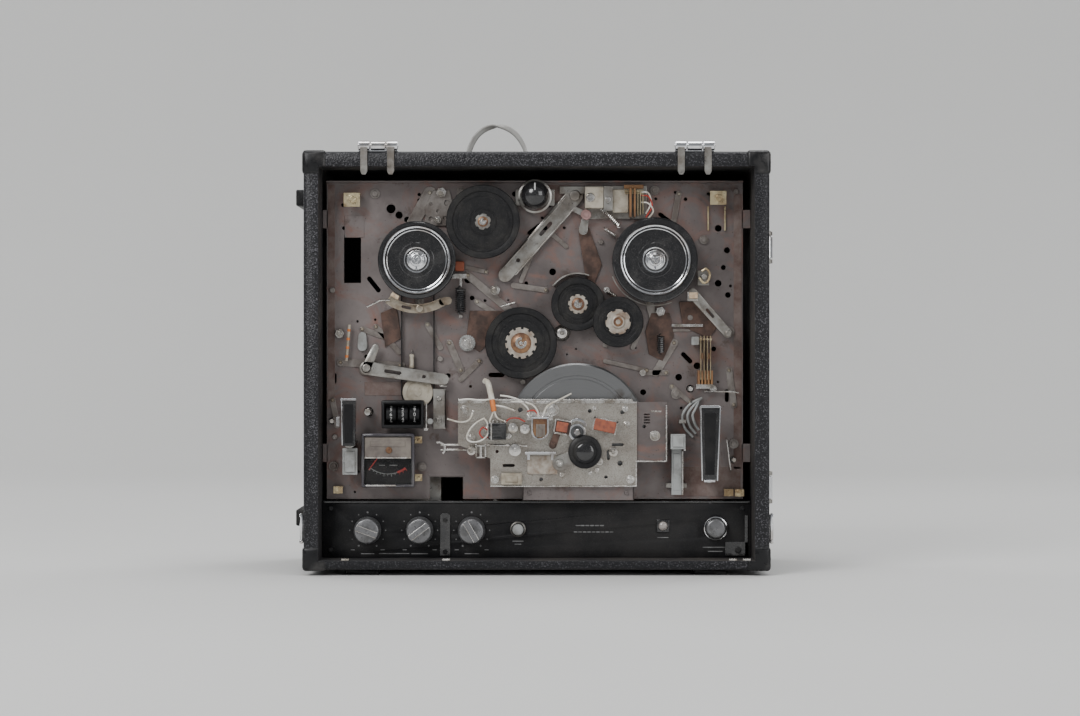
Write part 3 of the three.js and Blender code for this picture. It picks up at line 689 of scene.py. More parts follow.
def lead_line():
    """The lead's middle line and the direction of its width: over the back, down, then wound up."""
    route = [
        (-65, 107, 360), (-64.7, 107, 370), (-63, 107.2, 382), (-57, 107.6, 394), (-48, 108, 401.6),
        (-37.3, 108, 404.1), (-26.6, 108, 401.6), (-17.4, 108, 394), (-11, 108, 382), (-7.5, 108, 366),
        (-4.5, 108.2, 330), (-3, 108.4, 280), (-3.5, 108.5, 220), (-5, 108.5, 160), (-7, 108.5, 110),
        (-8.6, 108.5, 65), (-9.6, 108.5, 31), (-9.8, 112.2, 16.9), (-10, 122.3, 6.8), (-10, 134, 3.1),
        (-10, 142.7, 3.1), (-10, 152, 3.1),
    ]
    per_span = 8
    line = smooth_line(route, per_span)
    twists = ((11, 15, Y_AXIS, X_AXIS), (18, 20.6, X_AXIS, Z_AXIS))
    wides = []
    for i in range(len(line)):
        at = i / per_span
        # In the arch the lead shows its flat side to the front.
        lean = 0.85 * smoothstep((at - 0.5) / 2) * (1 - smoothstep((at - 6) / 4))
        wide = Y_AXIS * (1 - lean) + X_AXIS * lean
        for start, end, before, after in twists:
            if at >= start:
                turn = smoothstep((at - start) / (end - start)) * TAU / 4
                wide = before * cos(turn) + after * sin(turn)
        wides.append(wide)
    outer = COIL_X - LEAD_X
    inner = outer - TURN_STEP * INWARD_TURNS
    for i in range(int(ALL_TURNS * PER_TURN) + 1):
        t = i / PER_TURN
        if t <= INWARD_TURNS:
            radius = outer - TURN_STEP * t
        else:
            radius = inner + (TURN_STEP - 0.05) * (t - INWARD_TURNS) + STEP_OUT * smoothstep((t - INWARD_TURNS
                                                                                              - 0.1) * 2)
        rise = smoothstep((t - INWARD_TURNS + RISE_TURNS) / RISE_TURNS)
        angle = pi - TAU * t
        line.append(Vector((*polar(COIL_X, COIL_Y, radius, angle),
                            LEAD_FLOOR + ROW_RISE * rise)))
    plug_low, plug_high = box_mm("mains_plug")
    end, target = line[-1], Vector((plug_low[0] + 3, (plug_low[1] + plug_high[1]) / 2, 5.6))
    tail = 10
    for i in range(1, tail + 1):
        x = end.x + (target.x - end.x) * i / tail
        ease = smoothstep((x - end.x - 11) / (target.x - end.x - 14))
        line.append(Vector((x, end.y + (target.y - end.y) * ease, end.z + (target.z - end.z) * ease)))
    wides += [Z_AXIS] * (len(line) - len(wides))
    return line, wides


def rounded_rect(x, y_mid, half_y, z_low, z_high, corner=0.32):
    """A ring of points at x, with rounded corners, for loft()."""
    half_z, z_mid = (z_high - z_low) / 2, (z_high + z_low) / 2
    r = min(half_y, half_z) * corner * 2
    ring = []
    for quarter in range(4):
        cy = (half_y - r) * (1 if quarter in (0, 3) else -1)
        cz = (half_z - r) * (1 if quarter in (0, 1) else -1)
        for i in range(5):
            a = TAU / 4 * (quarter + i / 4)
            ring.append((x, y_mid + cy + r * cos(a), z_mid + cz + r * sin(a)))
    return ring


def make_plug():
    """A moulded two-blade plug lying on its flat side, with its ribbed neck towards the coil."""
    low, high = box_mm("mains_plug")
    x, y = low[0] + 5, (low[1] + high[1]) / 2
    sections = []
    for i in range(4):
        sections += [rounded_rect(x - 5 + i * 2, y, 3.0 + i * 0.3, 2.2, 8.6 + i * 0.3),
                     rounded_rect(x - 4 + i * 2, y, 3.0 + i * 0.3, 2.2, 8.6 + i * 0.3),
                     rounded_rect(x - 3.9 + i * 2, y, 3.7 + i * 0.3, 1.7, 9.2 + i * 0.3),
                     rounded_rect(x - 3.1 + i * 2, y, 3.7 + i * 0.3, 1.7, 9.2 + i * 0.3)]
    for dx, half, bottom, top in ((5, 6.4, 1.2, 11.4), (9, 8.2, 0.6, 13.2), (15, 9, 0.4, 14),
                                  (22, 8.7, 0.4, 14), (25, 10.4, 0.4, 15.6), (27, 12.6, 0.4, 17.6),
                                  (32.5, 13, 0.4, 18), (34, 12.4, 0.9, 17.4)):
        sections.append(rounded_rect(x + dx, y, half, bottom, top, 0.3))
    body = make("plug_body", loft(sections), PLUG_VINYL, replaces=["mains_plug"], bevel=0.35)
    grips = [prism([(x + 11 + i * 2.6, 13.4), (x + 12.4 + i * 2.6, 13.4), (x + 12.2 + i * 2.6, 14),
                    (x + 11.2 + i * 2.6, 14)], y - 5, y + 5) for i in range(4)]
    ribs = make("plug_grips", grips, PLUG_VINYL, bevel=0.15)
    blades = []
    for dy in (-6.4, 6.4):
        outline = [(x + 33, 6), (x + 49, 6), (x + 51, 7.4), (x + 51, 10.6), (x + 49, 12), (x + 33, 12)]
        blades.append(prism(outline, y + dy - 0.75, y + dy + 0.75))
    metal = make("plug_blades", blades, BRIGHT, bevel=0.2)
    carve(metal, *[prism(disc(x + 46.4, 9, 1.5, 14), y + dy - 3, y + dy + 3) for dy in (-6.4, 6.4)])
    return [body, metal, ribs]


def make_relief():
    """The gland in the rear panel and the ribbed boot that turns the lead upwards."""
    x, y = LEAD_EXIT[0], LEAD_EXIT[1]
    low, high = RELIEF_LOW[2], LEAD_EXIT[2] - 0.3
    base = low + 2.9
    profile = [(0, base - 7), (5.4, base - 7), (6.5, base - 5), (6.7, base + 5)]
    ribs = 8
    for i in range(ribs):
        z0 = base + 6 + (high - base - 6) * i / ribs
        pitch = (high - base - 6) / ribs
        r = 6.1 - 2.4 * i / ribs
        profile += [(r - 0.9, z0), (r - 0.9, z0 + pitch * 0.35), (r, z0 + pitch * 0.5),
                    (r - 0.1, z0 + pitch * 0.9)]
    profile += [(3.2, high), (0, high)]
    boot = placed(lathe(profile, segments=40), (x, y, 0), TAU / 4)
    gland = lathe([(0, 84), (6.4, 84), (6.4, 90.6), (9, 90.8), (9, 94.2), (8.2, 95.2), (6.6, 95.6),
                   (6.2, 103), (5.6, 108), (0, 109)], x, base, 40)
    nut = prism(disc(x, base, 8.6, 6, 0.3), 91, 93.6)
    return make("lead_boot", [boot, gland, nut], RUBBER, replaces=["strain_relief"], bevel=0.25)


def make_tie():
    """A flat band that holds the coil's turns together."""
    r, half, top = COIL_X + 29.9, 6.9, 11.75
    loop = []
    for cx, cz, first in ((half - 3, top - 3, 0), (3 - half, top - 3, 1), (3 - half, 3.15, 2),
                          (half - 3, 3.15, 3)):
        loop += [(r + cx + 3 * cos(TAU / 4 * (first + i / 5)), COIL_Y,
                  cz + 3 * sin(TAU / 4 * (first + i / 5))) for i in range(6)]
    wides = [Y_AXIS] * len(loop)
    shapes = [ribbon(loop, wides, 2.2, 0.14, 8, closed=True)]
    shapes.append(box(r + half - 0.2, r + half + 1.4, COIL_Y - 2.8, COIL_Y + 2.8, 5, 8.5))
    return make("lead_tie", shapes, RUBBER, bevel=0.1)


def make_lead():
    """The mains lead as one cord, from its gland to its plug."""
    line, wides = lead_line()
    shape = ribbon(line, wides, LEAD_HALF_WIDTH, LEAD_HALF_THICK, 16, waist=0.42)
    lead = make("mains_lead", shape, CORD_VINYL, replaces=["cord_run", "cord_coil"], bevel=0, angle=70)
    pieces = [*make_plug(), make_relief(), make_tie()]


# ---------------------------------------------------------- case, its fittings and the rear panel
WALL = CASE_HALF - box_mm("case_right")[0][0]
CASE_BOTTOM = box_mm("case_bottom")[0][2]
INSIDE_BOTTOM = box_mm("case_bottom")[1][2]
INSIDE_TOP = CASE_LOW[2]
INSIDE_X = CASE_HALF - WALL
BOARD = 10  # how thick the back board is
SHELL_ROUND = 3.5
BACK_WINDOW = (-115, -15, 285, 345)  # the opening that the rear panel fills
VENT_X, VENT_HALF, VENT_Z, VENT_STEP, VENT_COUNT = 90, 37.5, 222.5, 12, 7


def at_back(shape, x):
    """A shape built facing the front about x, at the negative of its real depth, turned to face the back."""
    return turned(shape, 180, "Z", (x, 0, 0))


def at_side(shape, side, y):
    """A shape built facing the front about x = 0, turned to face out of the left or right wall at y."""
    return placed(shape, (0, y, 0), TAU / 4 * side, "Z")


def at_top(shape, x, y):
    """A shape built facing the front about (0, 0), turned to face upwards at (x, y)."""
    return placed(shape, (x, y, 0), -TAU / 4)


def settle(obj):
    """Applies a piece's modifiers to its mesh."""
    graph = bpy.context.evaluated_depsgraph_get()
    obj.data = bpy.data.meshes.new_from_object(obj.evaluated_get(graph))
    obj.modifiers.clear()


def make_shell():
    """The five walls as one covered box, rounded outside and dark inside."""
    shell = make("case_shell", box(-CASE_HALF, CASE_HALF, RIM_Y, CASE_BACK, CASE_BOTTOM, CASE_TOP),
                 LEATHERETTE, bevel=SHELL_ROUND, segments=4,
                 replaces=["case_top", "case_bottom", "case_left", "case_right", "case_back"])
    settle(shell)
    inner = box(-INSIDE_X, INSIDE_X, RIM_Y - 5, CASE_BACK - BOARD, INSIDE_BOTTOM, INSIDE_TOP)
    x0, x1, z0, z1 = BACK_WINDOW
    window = box(x0, x1, CASE_BACK - 2 * BOARD, CASE_BACK + BOARD, z0, z1)
    vents = [at_back(prism(capsule(VENT_X - VENT_HALF, z, VENT_X + VENT_HALF, z, 5), -110, -80), VENT_X)
             for z in (VENT_Z + i * VENT_STEP for i in range(VENT_COUNT))]
    carve(shell, inner, window, *vents)
    shell.data.materials.append(INSIDE_BLACK)
    for face in shell.data.polygons:
        x, y, z = (c / MM for c in face.center)
        within = abs(x) < INSIDE_X + 0.5 and INSIDE_BOTTOM - 0.5 < z < INSIDE_TOP + 0.5
        if within and RIM_Y + 2 < y < CASE_BACK - 9:
            face.material_index = 1  # the walls' unlined inside
    soften(shell, 0.7, 2, 40)


def make_corners():
    """Enamelled steel caps riveted over the eight corners."""
    size, proud = 20, 1.1
    cavity = box(-INSIDE_X - 0.6, INSIDE_X + 0.6, RIM_Y - 9, CASE_BACK - BOARD, INSIDE_BOTTOM - 0.6,
                 INSIDE_TOP + 0.6)
    for side in (-1, 1):
        for end, y_name in ((RIM_Y, "front"), (CASE_BACK, "back")):
            for z, z_name in ((CASE_BOTTOM, "low"), (CASE_TOP, "high")):
                xs = sorted((side * (CASE_HALF + proud), side * (CASE_HALF - size)))
                inward = 1 if end < 0 else -1
                ys = sorted((end - inward * proud, end + inward * size))
                up = 1 if z_name == "low" else -1
                zs = sorted((z - up * proud, z + up * size))
                name = f"corner_{y_name}_{z_name}_{'left' if side < 0 else 'right'}"
                cap = make(name, box(*xs, *ys, *zs), CORNER_ENAMEL, bevel=3.4, segments=4)
                settle(cap)
                if end < 0:
                    carve(cap, cavity)
                soften(cap, 0.3, 2, 50)
                rivet = lathe([(0, -0.9), (1.4, -0.7), (2.1, 0), (2.1, 1.2)], 0, 0, 16)
                x_in = side * (CASE_HALF - size / 2 + 1)
                z_in = z + up * (size / 2 - 1)
                y_in = end + inward * (size / 2 + 1)
                rivets = [at_side(placed(rivet, (0, -CASE_HALF - proud, z_in)), side, y_in)]
                if end > 0:
                    rivets.append(at_back(placed(rivet, (x_in, -end - proud, z_in)), x_in))
                make(name + "_rivets", rivets, CORNER_ENAMEL, bevel=0)


def make_hinges():
    """Lift-off lid hinges: a leaf on top, a barrel of three knuckles over the rim and two prongs down it."""
    for name in ("left", "right"):
        low, high = box_mm("lid_hinge_" + name)
        x = (low[0] + high[0]) / 2
        top = CASE_TOP + 0.2
        leaf = box(x - 17, x + 17, -93, -72, top, top + 1.6)
        barrel_y, barrel_z, r = low[1] + 5.1, top + 4.9, 4.1
        knuckles = []
        for a, b, radius in ((-17, -7, r), (-6.6, 6.6, r - 0.25), (7, 17, r), (-17.4, 17.4, 1.9)):
            turnings = lathe([(0, a), (radius * 0.86, a), (radius, a + 0.5), (radius, b - 0.5),
                              (radius * 0.86, b), (0, b)], 0, 0, 28)
            knuckles.append(placed(turnings, (x, barrel_y, barrel_z), -TAU / 4, "Z"))
        strap = [box(x + a, x + b, barrel_y, -86, top + 0.4, top + 2.4)
                 for a, b in ((-16.5, -7.5), (7.5, 16.5))]
        make("hinge_" + name, [leaf, *knuckles, *strap], CHROME, replaces=["lid_hinge_" + name], bevel=0.35)
        heads = [at_top(screw(0, 0, -top - 1.6, 2.4, 0.4 + dx, washer=False), x + dx, -79)
                 for dx in (-11, 0, 11)]
        make("hinge_screws_" + name, heads, CHROME, bevel=0.12)
        prongs = []
        for dx in (-12, 11):
            m = x + dx
            outline = [(m - 3, top + 3), (m - 3, 347), (m - 1.6, 344), (m + 1.6, 344), (m + 3, 347),
                       (m + 3, top + 3)]
            prongs.append(prism(outline, RIM_Y - 1.5, RIM_Y - 0.3))
            prongs.append(prism(disc(m, 351, 1.5, 14), RIM_Y - 1.58, RIM_Y - 1.2))
        make("hinge_prongs_" + name, prongs, STEEL, bevel=0.25)


def make_handle():
    """The stirrup handle at rest against the right wall: steel ends, a padded grip and its four lugs."""
    low, high = box_mm("carry_handle")
    x0, x1 = low[0], high[0]
    mid = (x0 + x1) / 2
    grip_y, pivot_y = 37, -20
    ends = []
    for z0 in (low[2], high[2] - 20):
        ends.append(box(x0 + 2.2, x1 - 2.2, pivot_y, grip_y, z0 + 3, z0 + 17))
        ends.append(placed(lathe([(0, 0), (4.2, 0), (4.6, 0.5), (4.6, 19.5), (4.2, 20), (0, 20)],
                                 segments=28), (mid, pivot_y, z0), TAU / 4))
        ends.append(box(x0 + 0.5, x1 - 0.3, grip_y - 9.5, high[1] - 0.2, z0 + 0.3, z0 + 19.7))
    make("handle_ends", ends, CHROME, "handle", replaces=["carry_handle"], bevel=1.3, segments=3)
    bar = box(x0 + 0.3, x1, grip_y - 9, high[1], low[2] + 19, high[2] - 19)
    make("handle_grip", bar, RUBBER, "handle", bevel=3.2, segments=4)
    ribs = []
    for i in range(24):
        z = low[2] + 33 + i * 7.3
        ribs.append(box(x1 - 3, x1 - 0.01, grip_y - 6.5, grip_y + 6.5, z, z + 4.6))
    make("handle_ribs", ribs, RUBBER, "handle", bevel=0.8)
    lugs = []
    for z in (low[2] - 4.3, low[2] + 20.5, high[2] - 24.3, high[2] + 0.5):
        lugs.append(placed(lathe([(0, 0), (4.2, 0), (4.5, 0.4), (4.5, 3.4), (4.2, 3.8), (0, 3.8)],
                                 segments=24), (mid, pivot_y, z), TAU / 4))
        lugs.append(box(CASE_HALF - 1, mid, pivot_y - 4.5, pivot_y + 4.5, z, z + 3.8))
    make("handle_lugs", lugs, STEEL, bevel=0.4)


def make_catches():
    """The lid catches: a flap with a slot on each side wall, over a screwed plate."""
    for name, side in (("left", -1), ("right", 1)):
        low, high = box_mm("lid_catch_" + name)
        near, far = (abs(low[0]), abs(high[0])) if side > 0 else (abs(high[0]), abs(low[0]))
        z0, z1 = low[2] + 1.9, high[2]
        profile = [(near + 0.9, z0), (far - 0.6, z0), (far - 0.3, z0 + 14), (far - 1.2, z1 - 4),
                   (far, z1 - 2), (far - 0.6, z1), (near + 0.8, z1 - 1.2), (near + 0.3, z1 - 5),
                   (near + 0.9, z0 + 12)]
        flap = prism([(side * x, z) for x, z in profile], -94, -78)
        knuckle = lathe([(0, -95), (1.5, -95), (1.85, -94.6), (1.85, -77.4), (1.5, -77), (0, -77)],
                        side * (near + far) / 2, z0, 20)
        body = name + "_catch"
        piece = make("catch_flap_" + name, [flap, knuckle], CHROME, body, replaces=["lid_catch_" + name],
                     bevel=0.4)
        carve(piece, box(*sorted((side * (near - 2), side * (far + 2))), -90, -82, z0 + 12, z0 + 18),
              edges=(0.25, 2, 40))
        plate = box(*sorted((side * (CASE_HALF - 0.5), side * (CASE_HALF + 0.25))), -95.5, -76.5, z0 - 12,
                    z0 - 2.4)
        heads = [at_side(screw(0, z0 - 7, -CASE_HALF - 0.25, 1.7, 0.5, washer=False), side, y)
                 for y in (-91, -81)]
        make("catch_plate_" + name, [plate, *heads], CHROME, bevel=0.15)


def make_rear_panel():
    """The recessed plate with four round sockets, a voltage selector, a fuse cap and plain white marks."""
    low, high = box_mm("rear_panel")
    front = -high[1]  # the face of the panel, while its fittings are built facing the front
    finish_node("rear_panel", BLACK_PANEL, 0.3)
    spots = [(x, z) for x in (-100, -82) for z in (300, 322)]
    rims, cores, marks = [], [], []

    def mark(x, z, width):
        return at_back(prism(capsule(x - width / 2, z, x + width / 2, z, 0.9), front - 0.06, front + 0.2), x)
    for x, z in spots:
        rims.append(at_back(lathe([(5.6, front - 0.9), (6.9, front - 0.9), (7.4, front - 0.3),
                                   (7.4, front + 0.3), (6.3, front + 0.3), (6.3, -84), (5.6, -84),
                                   (5.6, front - 0.9)], x, z, 32), x))
        core = prism(disc(x, z, 5.65, 28), front + 0.7, -82)
        cores.append(at_back(core, x))
        marks.append(mark(x, z - 9.6, 6))
    make("socket_rims", rims, BRIGHT, bevel=0)
    inner = make("socket_cores", cores, DARK, bevel=0)
    pins = []
    for x, z in spots:
        for angle in (-30, 15, 60, 105, 150, 195):
            a = radians(angle + 7.5)
            pins.append(at_back(prism(disc(*polar(x, z, 3.1, a), 0.6, 8), front - 1, front + 3.4), x))
    carve(inner, *pins)
    x, z = -38, 322
    selector = [at_back(lathe([(0, front - 2.4), (7, front - 2.4), (8.2, front - 1.4), (8.2, front + 0.2)], x,
                              z, 36), x), at_back(box(x - 6.2, x + 6.2, front - 3.4, front - 2, z - 1, z + 1),
                                                  x)]
    make("voltage_selector", selector, GLOSS_BLACK, bevel=0.3)
    z = 300
    fuse = [at_back(lathe([(0, front - 7), (4.2, front - 7), (4.8, front - 6.2), (5, front - 1.2),
                           (6.6, front - 1.2), (6.6, front + 0.2)], x, z, 30), x)]
    fuse += [at_back(box(x + 4.6 * cos(a) - 0.5, x + 4.6 * cos(a) + 0.5, front - 6.4, front - 1.2,
                         z + 4.6 * sin(a) - 0.5, z + 4.6 * sin(a) + 0.5), x) for a in around(14)]
    make("fuse_cap", fuse, GLOSS_BLACK, bevel=0.15)
    marks += [mark(*spot) for spot in ((-38, 311, 9), (-38, 290.5, 7), (-65, 312, 10), (-65, 309.6, 6))]
    make("rear_marks", marks, WHITE_INK, bevel=0)
    corners = [(x, z) for x in (low[0] + 5, high[0] - 5) for z in (low[2] + 5, high[2] - 5)]
    make("rear_panel_screws", [at_back(screw(x, z, front, 2.3, 0.7 + x, washer=False), x)
                               for x, z in corners], STEEL, bevel=0.12)
    rim_spots = [(x, z) for x in (-178, 0, 178) for z in (24, 340)] + [(x, 182) for x in (-178, 178)]
    make("back_screws", [at_back(screw(x, z, -CASE_BACK, 3, 0.3 + z), x) for x, z in rim_spots], STEEL,
         bevel=0.15)


def make_case():
    make_shell()
    make_corners()
    make_hinges()
    make_handle()
    make_catches()
    make_rear_panel()
    for node in ("foot_rail_left", "foot_rail_right", "side_foot_upper", "side_foot_lower"):
        finish_node(node, RUBBER, 1.2)


# ---------------------------------------------------------- chassis plate and the fixed hardware on it
PLATE_LOW, PLATE_HIGH = box_mm("chassis_plate")
PLATE_Y = -60  # front face of the sheet
HOLE_COUNT, HOLE_SEED, MOST_TRIES = 64, 7, 4000  # of the holes in the sheet
SCREW_SEED = 3
PLATE_BACK = PLATE_HIGH[1]
PLATE_LEFT, PLATE_RIGHT = -183, 180
PLATE_BOTTOM, PLATE_TOP = PLATE_LOW[2], PLATE_HIGH[2]


def axle(node):
    """Where a wheel's axle stands, from its CAD node."""
    x, _, z = centre_mm(node)
    return x, z


SUPPLY, TAKEUP = axle("supply_turntable"), axle("takeup_turntable")
REWIND, IDLER = axle("rewind_idler"), axle("capstan_idler")
FIRST, STEPPED = axle("first_wheel"), axle("stepped_wheel")
FLYWHEEL, MOTOR = axle("flywheel"), axle("motor_rotor")


def strap(x0, z0, x1, z1, width0, width1=None):
    """A flat steel link with round ends, lying on the plate."""
    return prism(capsule(x0, z0, x1, z1, width0, width1), PLATE_Y - 1.2, PLATE_Y)


def clear_of_wheels(x, z, margin):
    """Whether a spot on the plate is in plain view, not under a wheel, a lever or the head plate."""
    wheels = ((SUPPLY, 35), (TAKEUP, 38), (REWIND, 33), (IDLER, 32), (FIRST, 24), (STEPPED, 23),
              (FLYWHEEL, 61))
    if any(math.hypot(x - wx, z - wz) < r + margin for (wx, wz), r in wheels):
        return False
    blocks = ((-70, 116, 72, 152), (-153, -104, 72, 124), (-136, -94, 124, 152), (40, 98, 306, 340),
              (-170, -150, 250, 296), (-95, -62, 60, 85), (140, 160, 80, 145))
    return not any(x0 - margin < x < x1 + margin and z0 - margin < z < z1 + margin for x0, x1, z0,
                   z1 in blocks)


def plate_holes():
    """The openings that the photograph shows, and small ones strewn over the rest of the plate."""
    made = [(158.5, 252, 3), (158.5, 300, 3), (-60, 255, 3), (14, 262, 3), (124, 170, 3), (140, 180, 3),
            (130, 325.4, 1.6), (166.2, 280.8, 2.7), (167, 241.8, 2.5), (163, 265.8, 2.2), (93, 157, 2.6),
            (-156, 306.9, 1.8), (-102.5, 329.5, 1.5), (-102.5, 324.7, 1.5), (-102.5, 317.8, 1.7),
            (-85.4, 318.5, 1.6), (-19, 330, 2.4), (-127, 317, 4), (-120, 311.5, 3.2), (-113, 307.6, 2.6),
            (-171.7, 208, 3)]
    dice = random.Random(HOLE_SEED)
    tries = 0
    while len(made) < HOLE_COUNT and tries < MOST_TRIES:
        tries += 1
        x, z = dice.uniform(PLATE_LEFT + 6, PLATE_RIGHT - 6), dice.uniform(PLATE_BOTTOM + 6, PLATE_TOP - 8)
        r = dice.choice((0.9, 1.1, 1.3, 1.3, 1.7, 2.1))
        if clear_of_wheels(x, z, r + 1) and all(math.hypot(x - a, z - b) > r + c + 3 for a, b, c in made):
            made.append((x, z, r))
    return made


def make_plate():
    """The perforated chassis sheet, its folds and the bosses that the wheels turn on."""
    plate = make("chassis_sheet", box(PLATE_LEFT, PLATE_RIGHT, PLATE_Y, PLATE_BACK, PLATE_BOTTOM, PLATE_TOP),
                 CHASSIS_STEEL, replaces=["chassis_plate"], bevel=0)
    through = (PLATE_Y - 9, PLATE_BACK + 9)
    cutters = [prism(disc(x, z, r, 14), *through) for x, z, r in plate_holes()]
    cutters.append(prism(disc(*MOTOR, 7.2, 24), *through))
    cutters.append(box(-168, -153.2, *through, 252.3, 294))
    cutters.append(box(-93, -64.2, *through, 55, 83))
    cutters += [prism(capsule(x0, z0, x1, z1, w), *through) for x0, z0, x1, z1,
                w in ((-146, 256, -138, 246, 4), (128, 190, 134, 184, 4), (166, 150, 166, 158, 3.4),
                      (-40, 172, -30, 172, 4), (150, 330, 158, 330, 3), (-176, 166, -176, 172, 3),
                      (108, 312, 116, 306, 3.6), (-6, 296, 2, 302, 4))]
    carve(plate, *cutters, edges=(0.25, 1, 40))
    edges = [box(PLATE_LEFT, PLATE_RIGHT, PLATE_Y - 6, PLATE_Y, PLATE_TOP - 1.5, PLATE_TOP)]
    for z in (96, 300):
        edges += [box(-INSIDE_X + 0.3, PLATE_LEFT + 1, PLATE_Y, PLATE_BACK, z, z + 16),
                  box(PLATE_RIGHT - 1, INSIDE_X - 0.3, PLATE_Y, PLATE_BACK, z, z + 16)]
    edges.append(box(-167.5, -150.4, PLATE_Y - 0.5, PLATE_Y + 0.2, 291.8, 311))
    edges.append(box(-94.5, -62.7, PLATE_Y - 0.5, PLATE_Y + 0.2, 83.6, 85.6))
    make("chassis_folds", edges, CHASSIS_STEEL, bevel=0.35)
    bosses = [(SUPPLY, 8, -60.9), (TAKEUP, 8, -72), (REWIND, 6, -75), (IDLER, 6, -65), (FIRST, 6, -65),
              (STEPPED, 6, -64), (FLYWHEEL, 9, -63.5)]
    turnings = [lathe([(0, front), (r - 0.6, front), (r, front + 0.6), (r, PLATE_Y)], x, z, 28) for (x, z), r,
                front in bosses]
    make("wheel_bosses", turnings, STEEL, bevel=0)


def bracket_tab(x, z, facing=1):
    """A bright folded tab with a screw, which the missing face plate was held by."""
    return [box(x - 7, x + 7, -74, -72.8, z - 6, z + 6), box(x - 7, x + 7, -73.5, PLATE_Y, z + 4.8 * facing,
                                                             z + 6 * facing), screw(x + 1, z, -74, 3, 0.8)]


def make_fixed_straps():
    """Flat links and braces that lie on the plate."""
    links = (
        (-93, 331, -108, 304, 11), (-60, 259, -24.4, 229, 6.5), (-52, 236, -34, 224, 5),
        (-3, 282, -13.4, 254, 5, 4), (-171, 183, -118, 180, 7), (-140, 214, -120, 192, 5),
        (-152, 212, -132, 205, 5), (98, 236, 108, 200, 7), (120, 200, 104, 174, 7),
        (92, 174, 113, 174, 5), (117, 211, 133, 211, 2.6), (118, 162, 134, 148, 5, 4),
        (60, 184, 96, 176, 4), (-76, 200, -66, 176, 6), (-50, 184, -66, 168, 5),
        (-95, 216, -84, 196, 5), (28, 333, 70, 333, 4.5), (118, 297, 124, 330, 5),
        (-70.8, 268, -44, 262, 4), (168, 176, 172, 146, 6), (-178, 150, -174, 128, 5),
        (-20, 250, 8, 246, 5), (12, 296, 26, 284, 4), (84, 196, 92, 214, 4),
    )
    make("fixed_links", [strap(*link) for link in links], LINK_STEEL, bevel=0.3)
    plates = (
        (1.6, [(36, 300), (46, 300), (57, 268), (48, 246), (42, 262)]),
        (1.4, [(100, 226), (116, 226), (120, 206), (110, 184), (98, 190), (95, 210)]),
        (1.5, [(124, 236), (146, 236), (158, 214), (150, 204), (128, 214)]),
        (1.4, [(-58, 228), (-30, 228), (-34, 206), (-50, 192), (-62, 200)]),
        (1.4, [(-136, 226), (-122, 232), (-118, 204), (-132, 196)]),
    )
    holed = make("holed_bracket", prism([(-97, 302), (-75, 302), (-72, 318), (-76, 333), (-90, 333),
                                         (-97, 318)], PLATE_Y - 2, PLATE_Y + 0.1), LINK_STEEL, bevel=0)
    carve(holed, *[prism(disc(x, z, r, 16), PLATE_Y - 5, PLATE_Y - 0.6) for x, z,
                   r in ((-92, 308, 2), (-80, 309, 1.5), (-78, 322, 2.4), (-92, 321, 1.4), (-86, 315, 1.2),
                         (-82, 328.6, 1.2))], edges=(0.3, 2, 40))
    make("brown_plates", [prism(outline, PLATE_Y - thick, PLATE_Y + 0.1) for thick, outline in plates],
         COPPER, bevel=0.3)
    pads = [box(x0, x1, PLATE_Y - 0.4, PLATE_Y + 0.1, z0, z1) for x0, x1, z0,
            z1 in ((-182, -176, 150, 338), (172, 179, 90, 330), (8, 30, 322, 338), (120, 178, 66, 92),
                   (-150, -112, 154, 166))]
    make("stained_strips", pads, RUSTY_STEEL, bevel=0.15)


